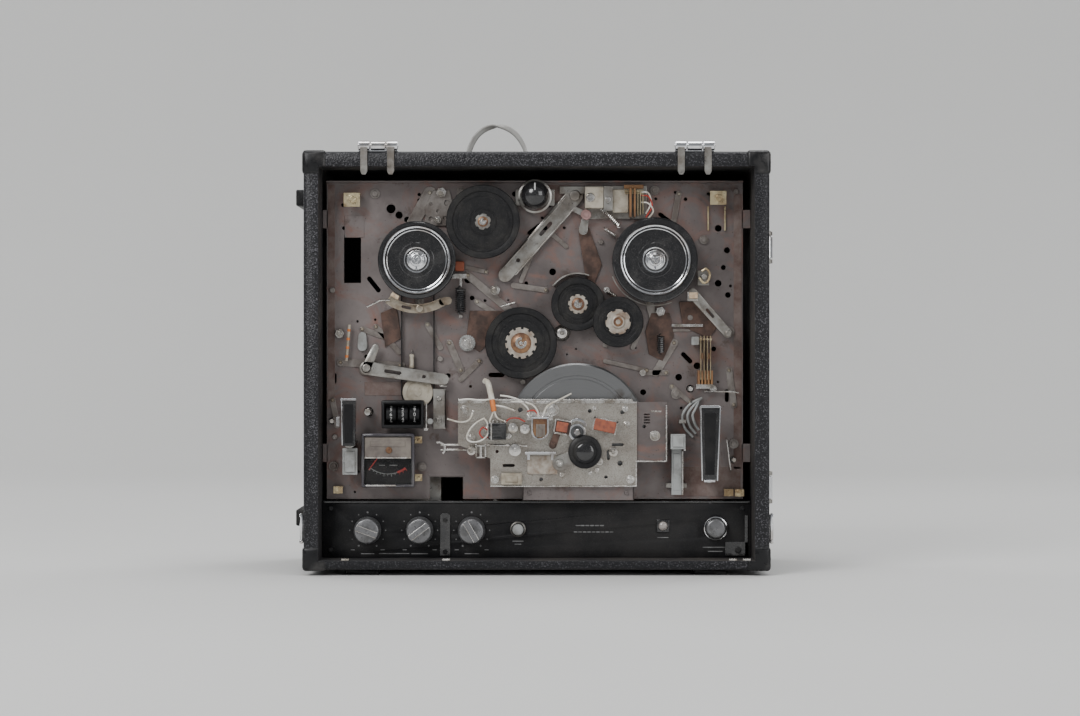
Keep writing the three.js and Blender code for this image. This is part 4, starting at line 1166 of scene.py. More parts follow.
def make_fixed_screws():
    """Screws, nuts and posts that stand on the plate."""
    heads = [(-150.4, 176.3, 3.2), (14.2, 168, 2.4), (121.7, 155.5, 3), (-177, 92.5, 2.8), (-101.8, 236, 2.6),
             (167.6, 209.6, 3.4), (103, 333, 2.6), (-141, 330, 2.8), (-66, 332, 2.6), (22, 334, 2.2),
             (146, 290, 2.6), (60, 198, 2.4), (-84, 186, 2.4), (172, 112, 2.8), (126, 96, 2.4),
             (-100, 92, 2.6), (-12, 166, 2.4), (112, 100, 2.2), (174, 332, 2.4), (-178, 246, 2.4),
             (-176, 118, 2.4), (134, 222, 2.4), (-128, 292, 2.4), (56, 288, 2.2)]
    dice = random.Random(SCREW_SEED)
    shapes = [screw(x, z, PLATE_Y - 1.2, r, dice.uniform(0, 3.1), washer=r > 2.4) for x, z, r in heads]
    make("plate_screws", shapes, LINK_STEEL, bevel=0.12)
    nuts = [(-36.1, 245.9, 4.6, 4.5), (-60.4, 199.9, 6, 3), (108, 227.4, 4.2, 3.4), (-86, 307, 3.4, 3),
            (61, 246, 3, 3), (-171.7, 208, 4.2, 2.6), (-83, 331, 4.6, 3), (92.6, 174, 3, 2.4),
            (154, 160, 3.4, 3)]
    make("plate_nuts", [hexnut(x, z, PLATE_Y - 1.2, r, h) for x, z, r, h in nuts], BRIGHT, bevel=0.25)
    x, z = -60.4, 199.9
    teeth = [prism(disc(*polar(x, z, 6.4, a), 0.9, 6), -63.4, -61) for a in around(22)]
    make("small_gear", [lathe([(0, -63.6), (6, -63.6), (6.4, -63.2), (6.4, -61)], x, z, 32), *teeth],
         GREY_NYLON, bevel=0)
    posts = [lathe([(0, PLATE_Y - h), (r - 0.3, PLATE_Y - h), (r, PLATE_Y - h + 0.4), (r, PLATE_Y),
                    (r + 1.2, PLATE_Y)], x, z, 20) for x, z, r,
             h in ((-146.5, 139.9, 3, 18), (-178, 132, 2, 12), (134, 160, 2.2, 9), (-36, 60, 2, 4),
                   (172, 98, 2, 7))]
    posts.append(tube([(-95.4, -80, 124), (-95.4, -80, 147)], 0.9, 10))
    posts.append(box(-97.4, -94, -81.2, PLATE_Y, 124, 126))
    make("plate_posts", posts, BRIGHT, bevel=0.15)
    tabs = [shape for spot in ((-160.3, 324.1, 1), (157.6, 325.8, 1)) for shape in bracket_tab(*spot)]
    for x, z in ((-172.5, 72.2), (176.3, 69.6), (167, 69.8)):
        tabs += [box(x - 4, x + 4, -70, -69, z - 3, z + 3), box(x - 4, x + 4, -69.5, PLATE_Y, z + 2, z + 3),
                 screw(x, z, -70, 2.2, 0.5)]
    tabs += [box(149, 150.4, -62, PLATE_Y, 298, 319),
             box(163.6, 165, -62, PLATE_Y, 298, 319)]
    make("bracket_tabs", tabs, CADMIUM, bevel=0.25)


def make_chassis():
    make_plate()
    make_fixed_straps()
    make_fixed_screws()


# ---------------------------------------------------------- drive train
def hoop(profile, x, z, segments=96):
    """A turned ring whose profile [(radius, y)] closes on itself."""
    return lathe(profile + profile[:1], x, z, segments)


def notched(x, z, r, notches, depth, share=0.34, spin=0.0):
    """The outline of a disc with square notches round its edge."""
    points = []
    for i in range(notches):
        start = spin + TAU * i / notches
        step = TAU / notches
        for at, radius in ((0.0, r), (1 - share, r), (1 - share, r - depth), (1.0, r - depth)):
            points.append(polar(x, z, radius, start + step * at))
        middle = start + step * (1 - share) / 2
        points.insert(-3, polar(x, z, r, middle))
    return points


def lobes(x, z, r, swell, count=3, n=60, spin=0.0):
    return [(x + (r + swell * cos(count * a + spin)) * cos(a),
             z + (r + swell * cos(count * a + spin)) * sin(a)) for a in around(n)]


def e_clip(x, z, y, r, spin):
    """A retaining clip on a shaft, open on one side."""
    return prism(ring_sector(x, z, r * 0.5, r, spin + 0.45, spin + TAU - 0.45, 22), y - 0.6, y)


def make_table(name, body, spot, disc_r, rim_r, stub):
    """A reel table: gloss disc, rubber edge, bright double rim and a three-lobed spindle."""
    x, z = spot
    tip = box_mm(name)[0][1]
    face = -84.2
    dish = [(0, -85.4), (9.6, -85.4), (10.6, -85), (11.4, face), (14.6, face), (15, face + 0.25),
            (15.4, face), (rim_r - 4.4, face), (rim_r - 3.6, -85), (rim_r - 2.4, -85.2), (rim_r - 0.4, -84.6),
            (rim_r + 0.8, -83.2), (disc_r - 1.4, -83), (disc_r - 0.5, -82.4), (disc_r - 0.4, -76.2),
            (disc_r - 1.2, -75.4)]
    make(name + "_dish", lathe(dish + stub, x, z, 128), GLOSS_BLACK, body, replaces=[name], bevel=0,
         angle=28)
    tyre = [(disc_r - 0.6, -82), (disc_r, -81.6), (disc_r, -77), (disc_r - 0.6, -76.6)]
    make(name + "_tyre", hoop(tyre, x, z, 128), RUBBER, body, bevel=0)
    rims = [hoop([(rim_r - 2.2, -84.8), (rim_r - 2, -86.5), (rim_r - 1.3, -87), (rim_r - 0.5, -87),
                  (rim_r, -86.4), (rim_r, -84.6)], x, z, 128),
            hoop([(rim_r - 4.2, face), (rim_r - 4.1, -85.4), (rim_r - 3.5, -85.6), (rim_r - 3.2, -84.8)], x,
                 z, 128), hoop([(9.9, -85.2), (10, -86), (10.8, -86.1), (11.4, -85.4), (11.5, -84.3)], x, z,
                               80)]
    make(name + "_rims", rims, CHROME, body, bevel=0, angle=50)
    hub = [(0, -88.2), (4.6, -88.2), (5.4, -87.6), (5.8, -86.2), (8.4, -85.8), (8.6, -85.3)]
    shapes = [lathe(hub, x, z, 60), prism(lobes(x, z, 3.3, 1.1, spin=-TAU / 4), tip + 2.2, -87.9),
              prism(lobes(x, z, 2.3, 0.7, spin=-TAU / 4), tip + 0.2, tip + 2.4)]
    shapes += [prism(capsule(*polar(x, z, 5.0, a), *polar(x, z, 7.8, a), 2.2), -86.9, -85.3)
               for a in (TAU * (i + 0.25) / 3 for i in range(3))]
    make(name + "_spindle", shapes, CHROME, body, bevel=0.45, segments=3)


def make_wheel(name, body, spot, r, hub_r, notches, front, back, hub_front, hub_finish, grooves=()):
    """A rubber-tyred idler with a thin web, a notched hub, a shaft end and a retaining clip."""
    x, z = spot
    web = front + 1.3
    profile = [(0, web), (r - 6.2, web), (r - 5.4, front + 0.2), (r - 5, front), (r - 0.7, front),
               (r, front + 0.7), (r, back - 0.7), (r - 0.7, back), (r - 5, back), (r - 6, back - 1),
               (0, back - 1)]
    make(name + "_tyre", lathe(profile, x, z, 112), RUBBER, body, replaces=[name], bevel=0, angle=28)
    rings = [hoop([(g, web + 0.2), (g + 0.1, web - 0.35), (g + 0.9, web - 0.35), (g + 1, web + 0.2)], x, z,
                  90) for g in grooves]
    if rings:
        make(name + "_rings", rings, RUBBER, body, bevel=0)
    hub = [prism(notched(x, z, hub_r, notches, hub_r * 0.12), web - 0.9, web + 0.3)]
    make(name + "_hub", hub, hub_finish, body, bevel=0.2)
    cup = [(0, hub_front + 0.8), (hub_r * 0.36, hub_front + 0.8), (hub_r * 0.4, hub_front + 1.1),
           (hub_r * 0.5, web - 1.6), (hub_r * 0.62, web - 1.4), (hub_r * 0.66, web - 0.8)]
    make(name + "_cup", [lathe(cup, x, z, 48)], BRASS_BROWN, body, bevel=0)
    core = [lathe([(0, hub_front), (1.3, hub_front), (1.7, hub_front + 0.4), (1.7, web)], x, z, 24),
            e_clip(x, z, hub_front + 0.85, hub_r * 0.27 + 1.2, 0.9)]
    make(name + "_shaft", core, BRIGHT, body, bevel=0.1)


def make_flywheel():
    """The flywheel with its groove and balance holes, and the capstan shaft."""
    x, z = FLYWHEEL
    low, high = box_mm("flywheel")
    r = (high[0] - low[0]) / 2
    front, back = -75, high[1]
    groove = r - 12.6
    profile = [(0, -77.4), (8.4, -77.4), (9, -76.8), (9, front), (20, front), (20.4, front + 0.4),
               (21, front), (groove - 1.2, front), (groove - 0.9, -74.1), (groove + 1.6, -74.1),
               (groove + 1.9, front), (r - 1.4, front), (r, front + 1.2), (r, back - 0.8), (r - 0.8, back),
               (0, back)]
    wheel = make("flywheel_rim", lathe(profile, x, z, 160), FLYWHEEL_METAL, "capstan",
                 replaces=["flywheel"], bevel=0, angle=28)
    spots = [prism(disc(*polar(x, z, r - 7, a), 1.6, 16), front - 1, front + 1.4)
             for a in (0.4, 1.9, 3.3, 5.2)]
    carve(wheel, *spots, edges=(0, 0, 28))
    tip = low[1]
    shaft = lathe([(0, tip), (2.4, tip), (2.9, tip + 0.5), (2.9, -77)], x, z, 48)
    make("capstan_shaft", shaft, CHROME, "capstan", bevel=0)


def make_pulley():
    """The motor's stepped pulley and the motor behind the plate."""
    x, z = MOTOR
    tip = box_mm("motor_rotor")[0][1]
    profile = [(0, tip), (1.6, tip), (1.9, tip + 0.4), (1.9, tip + 2), (3.4, tip + 2.2), (3.6, tip + 6.8),
               (4.4, tip + 7), (5, tip + 7.6), (5, tip + 13.4), (4.6, tip + 14), (2.5, tip + 15),
               (2.5, -52.4), (0, -52.4)]
    make("motor_pulley", lathe(profile, x, z, 40), BRIGHT, "rotor", replaces=["motor_rotor"], bevel=0,
         angle=30)
    finish_node("motor", STEEL, 0.8)


def make_drive():
    """Both reel tables, the friction wheels, the flywheel, the motor and the counter's drive."""
    make_table("supply_turntable", "supply_table", SUPPLY, 33.7, 29.4,
               [(14.2, -75.4), (14, -66), (13.2, -65), (12.4, -64.4), (12.4, -62.2), (13.2, -61.6),
                (13, -61.2), (0, -61.2)])
    make_table("takeup_turntable", "takeup_table", TAKEUP, 37, 30.6, [(12, -75.4), (12, -72.4), (0, -72.4)])
    make_wheel("capstan_idler", "idler", IDLER, 31.2, 13.7, 12, -72, -66, -74, HUB_ALLOY, (20,))
    make_wheel("first_wheel", "first_wheel_body", FIRST, 23.3, 8.6, 9, -72, -66, -74, HUB_ALLOY, (12.2, 15.4))
    make_wheel("rewind_idler", "rewind_wheel", REWIND, 32, 7, 6, -82, -76, -84, STEEL, (11, 22))
    x, z = STEPPED
    steps = [(0, -82.4), (12.4, -82.4), (12.8, -81.6), (17, -81.6), (17.6, -82), (21.2, -82), (22, -81.2),
             (22, -76.7), (21.3, -76), (14.3, -75.8), (14.3, -65.6), (13.6, -65), (0, -65)]
    make("stepped_wheel_tyre", lathe(steps, x, z, 96), RUBBER, "stepped_wheel_body",
         replaces=["stepped_wheel"], bevel=0, angle=28)
    make("stepped_wheel_hub", [prism(notched(x, z, 11, 7, 1.1, spin=0.3), -83.5, -82.2),
                               lathe([(0, -85), (4.8, -85), (5.6, -84.4), (6.4, -83.4)], x, z, 40)],
         HUB_ALLOY, "stepped_wheel_body", bevel=0.25)
    make("stepped_wheel_cup", [hoop([(2.1, -85.15), (4.1, -85.15), (4.1, -84.6), (2.1, -84.6)], x, z, 32)],
         BRASS_BROWN, "stepped_wheel_body", bevel=0)
    make_flywheel()
    make_pulley()
    finish_node("counter_belt", RUBBER, 0)
    x, z = axle("counter_pulley")
    profile = [(0, -65), (3.4, -65), (3.8, -64.6), (9, -64.6), (9.4, -65), (12.8, -65), (13.2, -64.6),
               (12.5, -63.9), (12.5, -61.9), (13.2, -61.3), (12.8, -61), (0, -61)]
    make("counter_pulley_wheel", lathe(profile, x, z, 60), CREAM, "counter_drive",
         replaces=["counter_pulley"], bevel=0, angle=28)
    make("guard_arc", [prism(ring_sector(FIRST[0], FIRST[1], 26.2, 27.4, 1.2, 2.5, 26), -70, PLATE_Y),
                       prism(ring_sector(TAKEUP[0], TAKEUP[1], 38.6, 39.6, 3.5, 5.1, 34), -72, -70.8)], STEEL,
         bevel=0.15)


# ---------------------------------------------------------- head plate, heads and tape path
HEAD_FACE = -84  # front of the head plate
GUARD_Y = -79.6  # front of the guard below it
WIRE_Y = -90  # how far forward the wires on the head plate lie


def cable(name, spots, r, material):
    """A thin lead drawn through [(x, y, z)] points."""
    make(name, tube(smooth_line(spots), r, 9), material, bevel=0, angle=80)


def make_head_plate():
    """The pitted base plate of the heads, its folded edges, its wing and the guard below it."""
    back = HEAD_FACE + 2
    outline = [(-67.8, 149), (-67.8, 112), (-40, 100), (-40, 75.5), (86.7, 75.5), (86.7, 149)]
    plate = make("head_plate_sheet", prism(outline, HEAD_FACE, back), PITTED_NICKEL,
                 replaces=["head_plate"], bevel=0)
    through = (HEAD_FACE - 5, back + 5)
    holes = [(*FLYWHEEL, 5.5), (-14, 142, 2), (46, 141, 1.6), (72, 96, 2.2), (74, 140, 1.8), (4, 82, 1.6),
             (60, 84, 1.4), (-34, 106, 1.4)]
    cutters = [prism(disc(x, z, r, 20), *through) for x, z, r in holes]
    cutters += [prism(capsule(x0, z0, x1, z1, 2.4), *through) for x0, z0, x1, z1 in
                ((66, 112, 74, 112), (-28, 94, -20, 94), (62, 100, 62, 106))]
    carve(plate, *cutters, edges=(0.3, 2, 40))
    lips = [box(-67.8, 86.7, HEAD_FACE - 0.9, HEAD_FACE + 7, 147.7, 149),
            box(-40, 86.7, HEAD_FACE - 0.9, HEAD_FACE + 7, 75.5, 76.8),
            box(85.4, 86.7, HEAD_FACE - 0.3, HEAD_FACE + 6, 76, 97)]
    make("head_plate_lips", lips, BRIGHT, bevel=0.4)
    posts = [lathe([(0, HEAD_FACE + 1), (2.8, HEAD_FACE + 1), (2.8, PLATE_Y - 1), (4.2, PLATE_Y - 1),
                    (4.2, PLATE_Y)], x, z, 24) for x, z in ((-62, 142), (-36, 80), (81, 78.5))]
    make("head_plate_posts", posts, STEEL, bevel=0.2)
    wing = make("head_plate_wing", box(78.2, 112.7, HEAD_FACE + 2.2, HEAD_FACE + 3.4, 97, 148.8),
                CHASSIS_STEEL, bevel=0)
    carve(wing, *[prism(capsule(93.4, z, 97.4, z, 1.2), *through) for z in (138, 135.6, 133.2, 130.8)],
          prism(disc(93, 127.6, 1.5, 12), *through), edges=(0.25, 2, 40))
    make("head_wing_edges", [box(111.5, 112.7, HEAD_FACE - 1, HEAD_FACE + 3, 97, 146),
                             box(84, 112.7, HEAD_FACE - 1, HEAD_FACE + 3, 97, 98.1),
                             box(99, 108, -82, PLATE_Y, 140, 141.4)], BRIGHT, bevel=0.3)
    heads = [(14.2, 142, 3.6, HEAD_FACE), (102.3, 119.5, 3, HEAD_FACE + 2.2), (-62, 142, 2.6, HEAD_FACE),
             (81, 82, 2.4, HEAD_FACE), (-36, 82, 2.4, HEAD_FACE), (52, 90.4, 2.2, HEAD_FACE),
             (46.4, 87.6, 1.8, HEAD_FACE), (78, 129, 2.2, HEAD_FACE), (22, 86, 2.4, HEAD_FACE),
             (-56, 118, 2.2, HEAD_FACE), (76.5, 143, 1.8, HEAD_FACE), (50, 143.5, 1.8, HEAD_FACE)]
    make("head_plate_fold", box(-67.8, 83, HEAD_FACE - 1.2, HEAD_FACE + 2, 149, 151.4), BRIGHT, bevel=0.5)
    guard = [box(-12, 84, GUARD_Y, -78.6, 63.8, 77), box(-12, -11, GUARD_Y, PLATE_Y, 64, 76),
             box(83, 84, GUARD_Y, PLATE_Y, 64, 76), screw(-6, 70, GUARD_Y, 2, 0.3, washer=False),
             screw(78, 70, GUARD_Y, 2, 1.1, washer=False)]
    make("flywheel_guard", guard, CHASSIS_STEEL, bevel=0.3)
    make("head_plate_screws", [screw(x, z, y, r, 0.4 + x, abs(x - 37) > 20) for x, z, r, y in heads], BRIGHT,
         bevel=0.15)


def make_heads():
    """The erase head in its clamp and the record and play head in its can."""
    low, high = box_mm("erase_head")
    x0, x1, z0, z1 = low[0], high[0], low[2], high[2]
    erase = make("erase_head_block", box(x0, x1, low[1] + 0.8, high[1], z0, z1), GLOSS_BLACK,
                 replaces=["erase_head"], bevel=0.9, segments=3)
    settle(erase)
    carve(erase, *[box(x0 - 1, x1 - 5, low[1] - 1, low[1] + 1.8, z0 + 2.6 + i * 2.4, z0 + 3.5 + i * 2.4)
                   for i in range(4)], box(x0 + 4, x1 - 4, low[1] + 3, high[1] - 3, z0 - 1, z0 + 1),
          edges=(0.2, 2, 40))
    clamp = [box(x0 - 2.6, x1 + 2.6, HEAD_FACE - 1.3, HEAD_FACE, z0 + 1, z0 + 5),
             box(x0 + 2, x0 + 3.2, low[1] + 0.2, HEAD_FACE, z0 - 0.4, z1 + 0.4),
             screw(x0 - 0.6, z0 + 9, HEAD_FACE, 1.8, 1.1), screw(x1 + 2.2, z0 + 3, HEAD_FACE - 1.3, 1.5, 0.2)]
    clamp += [tube([(x, low[1] + 5, z1 - 1), (x, low[1] + 5, z1 + 2.6)], 0.5, 8)
              for x in (x0 + 4, x0 + 7.5, x0 + 11)]
    make("erase_head_clamp", clamp, BRIGHT, bevel=0.2)

    low, high = box_mm("record_play_head")
    x, z_top, r = (low[0] + high[0]) / 2, high[2], (high[0] - low[0]) / 2
    z_mid = low[2] + r

    def shield(grow, y0, y1):
        return prism([(x - r - grow, z_top + grow), *disc(x, z_mid, r + grow, 22, pi, pi),
                      (x + r + grow, z_mid), (x + r + grow, z_top + grow)], y0, y1)
    can = make("play_head_can", shield(0, low[1] + 0.5, high[1]), CHROME, replaces=["record_play_head"],
               bevel=0)
    carve(can, shield(-1.5, low[1] - 2, low[1] + 3), edges=(0.35, 2, 40))
    make("play_head_core", [shield(-1.7, low[1] + 1.2, low[1] + 4)], BRASS_BROWN, bevel=0.2)
    stack = [box(x - 3.4 + i * 1.15, x - 2.7 + i * 1.15, low[1] + 0.3, low[1] + 3, z_mid - 5, z_mid + 6)
             for i in range(7)]
    make("play_head_laminations", stack, STEEL, bevel=0.1)
    make("play_head_foot", [box(x - 11.5, x + 11, HEAD_FACE - 1.4, HEAD_FACE, z_top - 3, z_top + 3.6),
                            screw(x - 9.4, z_top + 0.4, HEAD_FACE - 1.4, 1.6, 0.3),
                            screw(x + 8.8, z_top + 0.4, HEAD_FACE - 1.4, 1.6, 1.3)], BRIGHT, bevel=0.2)


def make_tape_path():
    """Guides, bars, links, the capstan's collar and the framed felt."""
    guides = []
    for x, z, r in ((-20.2, 126.7, 2.6), (-9.9, 125.8, 2.4), (-18.5, 107.8, 3.6), (66, 106, 2.2),
                    (-56, 107, 2)):
        guides.append(lathe([(0, -97.4), (1.4, -97.4), (1.8, -96.8), (r + 1.6, -96.4), (r + 1.8, -95.8),
                             (r + 1.6, -95.2), (r, -94.8), (r, -88.4), (r + 1.6, -88), (r + 1.8, -87.4),
                             (r + 1.6, -86.8), (2.4, -86.4), (2.4, -84)], x, z, 40))
    make("tape_guides", guides, BRIGHT, bevel=0, angle=40)
    make("guide_collars", [hoop([(3.7, -92.6), (4.3, -92.4), (4.3, -90.4), (3.7, -90.2)], -18.5, 107.8, 40),
                           hoop([(2.7, -92.8), (3.1, -92.8), (3.1, -91.2), (2.7, -91.2)], -20.2, 126.7, 30)],
         RED, bevel=0)
    bar = [box(-9.9, 16.8, -95.5, -87, 103.9, 106.1), box(-8, -5.6, -90, HEAD_FACE, 99, 104.5),
           box(12.4, 14.8, -90, HEAD_FACE, 99, 104.5)]
    make("tape_bar", bar, CHROME, bevel=0.4)
    make("pale_step", [box(-8, 18, HEAD_FACE - 2.4, HEAD_FACE, 86.5, 102.5)], HUB_ALLOY, bevel=0.6)
    make("cream_block", [box(-30.6, -12.5, HEAD_FACE - 7, HEAD_FACE, 77.6, 87.7),
                         box(-27, -16, HEAD_FACE - 8.2, HEAD_FACE - 6, 79.6, 85.6)], CREAM, bevel=1.1,
         segments=3)
    rods = [tube([(-83, -80, z), (-53, -80, z)], 0.95, 12) for z in (107.4, 111.6)]
    rods += [tube([(-43, -88, 111.8), (-8, -88, 111)], 0.8, 12)]
    rods.append(prism(ring_sector(-84.5, 108.4, 4.6, 6.2, -0.9, 1.9, 18), -82, -78))
    for x in (-52.6, -44.6):
        rods.append(box(x, x + 1.2, -91, HEAD_FACE + 1, 100.5, 113))
    rods += [box(-52.6, -43.4, -91, HEAD_FACE, 100.5, 101.7), box(-52.6, -43.4, -91, HEAD_FACE, 110.6, 111.8),
             box(-49, -47, -90, -86, 101, 111)]
    make("head_linkage", rods, BRIGHT, bevel=0.2)
    x, z = FLYWHEEL
    collar = [hoop([(5.6, -86.6), (7.2, -86.6), (7.6, -86), (7.6, -84), (5.4, -84), (5.4, -86.2)], x, z, 48),
              prism(ring_sector(x, z + 3, 7, 9.2, 0.35, pi - 0.35, 18), -93, -84)]
    make("capstan_collar", collar, CHROME, bevel=0.25)
    felt = turned(box(49.6, 68.2, -93, -85.2, 123.3, 133.3), 12, "Y", (58.9, 0, 128.3))
    make("felt_block", [felt], FELT, bevel=0.9, segments=3)
    frame_spots = (box(48.4, 69.4, HEAD_FACE - 6.6, HEAD_FACE, 132.6, 134.4),
                   box(48.4, 50, HEAD_FACE - 6.6, HEAD_FACE, 122.4, 134.4),
                   box(67.8, 69.4, HEAD_FACE - 6.6, HEAD_FACE, 122.4, 134.4))
    make("felt_frame", [turned(s, 12, "Y", (58.9, 0, 128.3)) for s in frame_spots], BRIGHT, bevel=0.3)


PINCH_SHEET = (-87.2, -85.6)  # front and back of the pinch roller's lever


def make_pad_and_roller():
    """The pressure pad's arm, and the pinch roller on its lever."""
    pad_arm = [prism(capsule(14, 112, 21, 130, 6.6, 5), -94.6, -93.2),
               lathe([(0, -96), (2, -96), (2.4, -95.6), (2.4, -92)], 14, 112, 24),
               turned(box(15.4, 29, -94.8, -93.4, 121.8, 133), 10, "Y", (22, 0, 127))]
    make("pressure_arm", pad_arm, COPPER, "pressure_pad", replaces=["pressure_pad_arm"], bevel=0.4)
    make("pressure_felt", [turned(box(17, 27, -97, -90, 123.2, 131.8), 10, "Y", (22, 0, 127.5))], FELT,
         "pressure_pad", bevel=0.8, segments=3)
    edge = [turned(s, 10, "Y", (22, 0, 127)) for s in (box(15.2, 29.2, -96, -93, 132.6, 133.8),
                                                       box(15, 16.2, -96, -93, 122, 133.8),
                                                       box(16, 27, -97, -94, 120.8, 122.4))]
    make("pressure_arm_edges", edge, BRIGHT, "pressure_pad", bevel=0.3)
    cx, cz = axle("pinch_roller")
    low, high = box_mm("pinch_roller")
    r = (high[0] - low[0]) / 2
    rubber = [(0, -97.2), (r - 5.6, -97.2), (r - 4.6, -96.6), (r - 4, -95.4), (r - 1.6, -95),
              (r - 0.3, -94.2), (r, -93), (r, -89), (r - 0.6, -88.2), (r - 2, -87.8), (0, -87.8)]
    make("pinch_tyre", lathe(rubber, cx, cz, 96), RUBBER, "pinch_wheel", replaces=["pinch_roller"], bevel=0,
         angle=28)
    cap = [(0, -98.3), (3, -98.2), (6.4, -97.6), (8.6, -96.6), (9.6, -95.2), (9.7, -94.6)]
    make("pinch_cap", lathe(cap, cx, cz, 80), GLOSS_BLACK, "pinch_wheel", bevel=0)
    arm = [prism(capsule(20, 96, cx, cz, 13, 10), *PINCH_SHEET),
           lathe([(0, -89.6), (3, -89.6), (3.6, -89), (3.6, -85)], 20, 96, 28)]
    arm.append(prism([(cx + 4, cz - 13.4), (cx + 15.6, cz - 9.4), (cx + 15, cz + 1), (cx + 2, cz)],
                     *PINCH_SHEET))
    make("pinch_lever_plate", arm, STEEL, "pinch_lever", replaces=["pinch_arm"],
         bevel=0.35)
    make("pinch_lever_stud", [screw(cx + 12.6, cz - 8.6, -87.2, 2, 0.2),
                              screw(20, 96, -89.6, 2, 0.8, washer=False)], BRIGHT, "pinch_lever", bevel=0.12)


def make_wires():
    """The wires to the heads. Each spot is (x, how far behind WIRE_Y, z)."""
    def lead(name, spots, r, material):
        cable(name, [(x, WIRE_Y + back, z) for x, back, z in spots], r, material)

    lead("sleeve_white", [(-44.8, 12, 167), (-42, 8, 165), (-39.8, 2, 157), (-38.4, 0, 150.6)], 2.5, WHITE)
    lead("sleeve_orange", [(-38.5, 0, 151), (-37.4, -1, 146), (-36.6, -1, 141)], 2.3, ORANGE)
    for i, spots in enumerate(([(-36.8, -1, 141.6), (-38.4, -2, 137), (-40.2, -1, 132), (-38.6, 0, 128)],
                               [(-36.4, -1, 141.6), (-34.4, -2, 136), (-30.8, -1, 133.4), (-27, 0, 132)],
                               [(-45, 0, 135), (-52, -1, 131), (-57.5, 0, 125), (-60, 0, 118),
                                (-56, -1, 114.6), (-48, -2, 115.6), (-41.8, -1, 121), (-42, 0, 130),
                                (-45.4, 0, 135.2)], [(-77, 12, 134), (-66, 4, 131.6), (-58, 0, 133.6),
                                                     (-54.6, 0, 141)],
                               [(-36, 0, 146), (-28, -2, 144.8), (-19, 0, 141.6)],
                               [(-31.2, -2, 154.6), (-24, -3, 153.6), (-17, -2, 151.6), (-12, 0, 149)],
                               [(-9.3, 0, 148.6), (-3.6, -2, 146.6), (0.4, -2, 142), (1.8, -1, 137)],
                               [(-22, -1, 149.4), (-14, -2, 149), (-8, -1, 144), (-6, 0, 138)],
                               [(5.6, -1, 137), (7.4, -2, 142), (10.6, -2, 146.4), (20, 4, 151),
                                (30, 10, 156)], [(-66.9, 0, 150.6), (-58, -1, 151.4), (-48, -2, 150.4),
                                                 (-40, 0, 151.2)],)):
        lead(f"head_wire_{i}", spots, 0.75, WHITE)
    for i, spots in enumerate((
        [(-41, 2, 124), (-46, 0, 127), (-49, -1, 122.6), (-46, 0, 118), (-41, 2, 119)],
        [(-27, 0, 131), (-23, -1, 134.6), (-16, -1, 135), (-10, 0, 132)],
        [(1.6, 0, 137.6), (-2, -2, 141.6), (-8, -1, 141)],
    )):
        lead(f"head_wire_red_{i}", spots, 0.65, RED)
    make("solder_joints", [lathe([(0, -94), (0.9, -93.6), (1.2, -92.6), (0.8, -91.4), (0, -91)], x, z, 14)
                           for x, z in ((-38.6, 128), (-27, 132), (-19, 141.6), (-12, 149), (-54.6, 141),
                                        (1.8, 137), (5.6, 137))], BRIGHT, bevel=0)


def make_head_group():
    make_head_plate()
    make_heads()
    make_tape_path()
    make_pad_and_roller()
    make_wires()


# ---------------------------------------------------------- levers, brakes and the speed switch
# The front and back of each lever's sheet, and a cut right through it.
BRAKE_SHEET, BRAKE_CUT = (-74.2, -72.8), (-79, -70)
LEVER_SHEET, LEVER_CUT = (-68.8, -67.2), (-75, -60)
SHIFT_SHEET, SHIFT_CUT = (-63.8, -62.2), (-70, -60)
FINE_EDGES = (0.25, 2, 35)


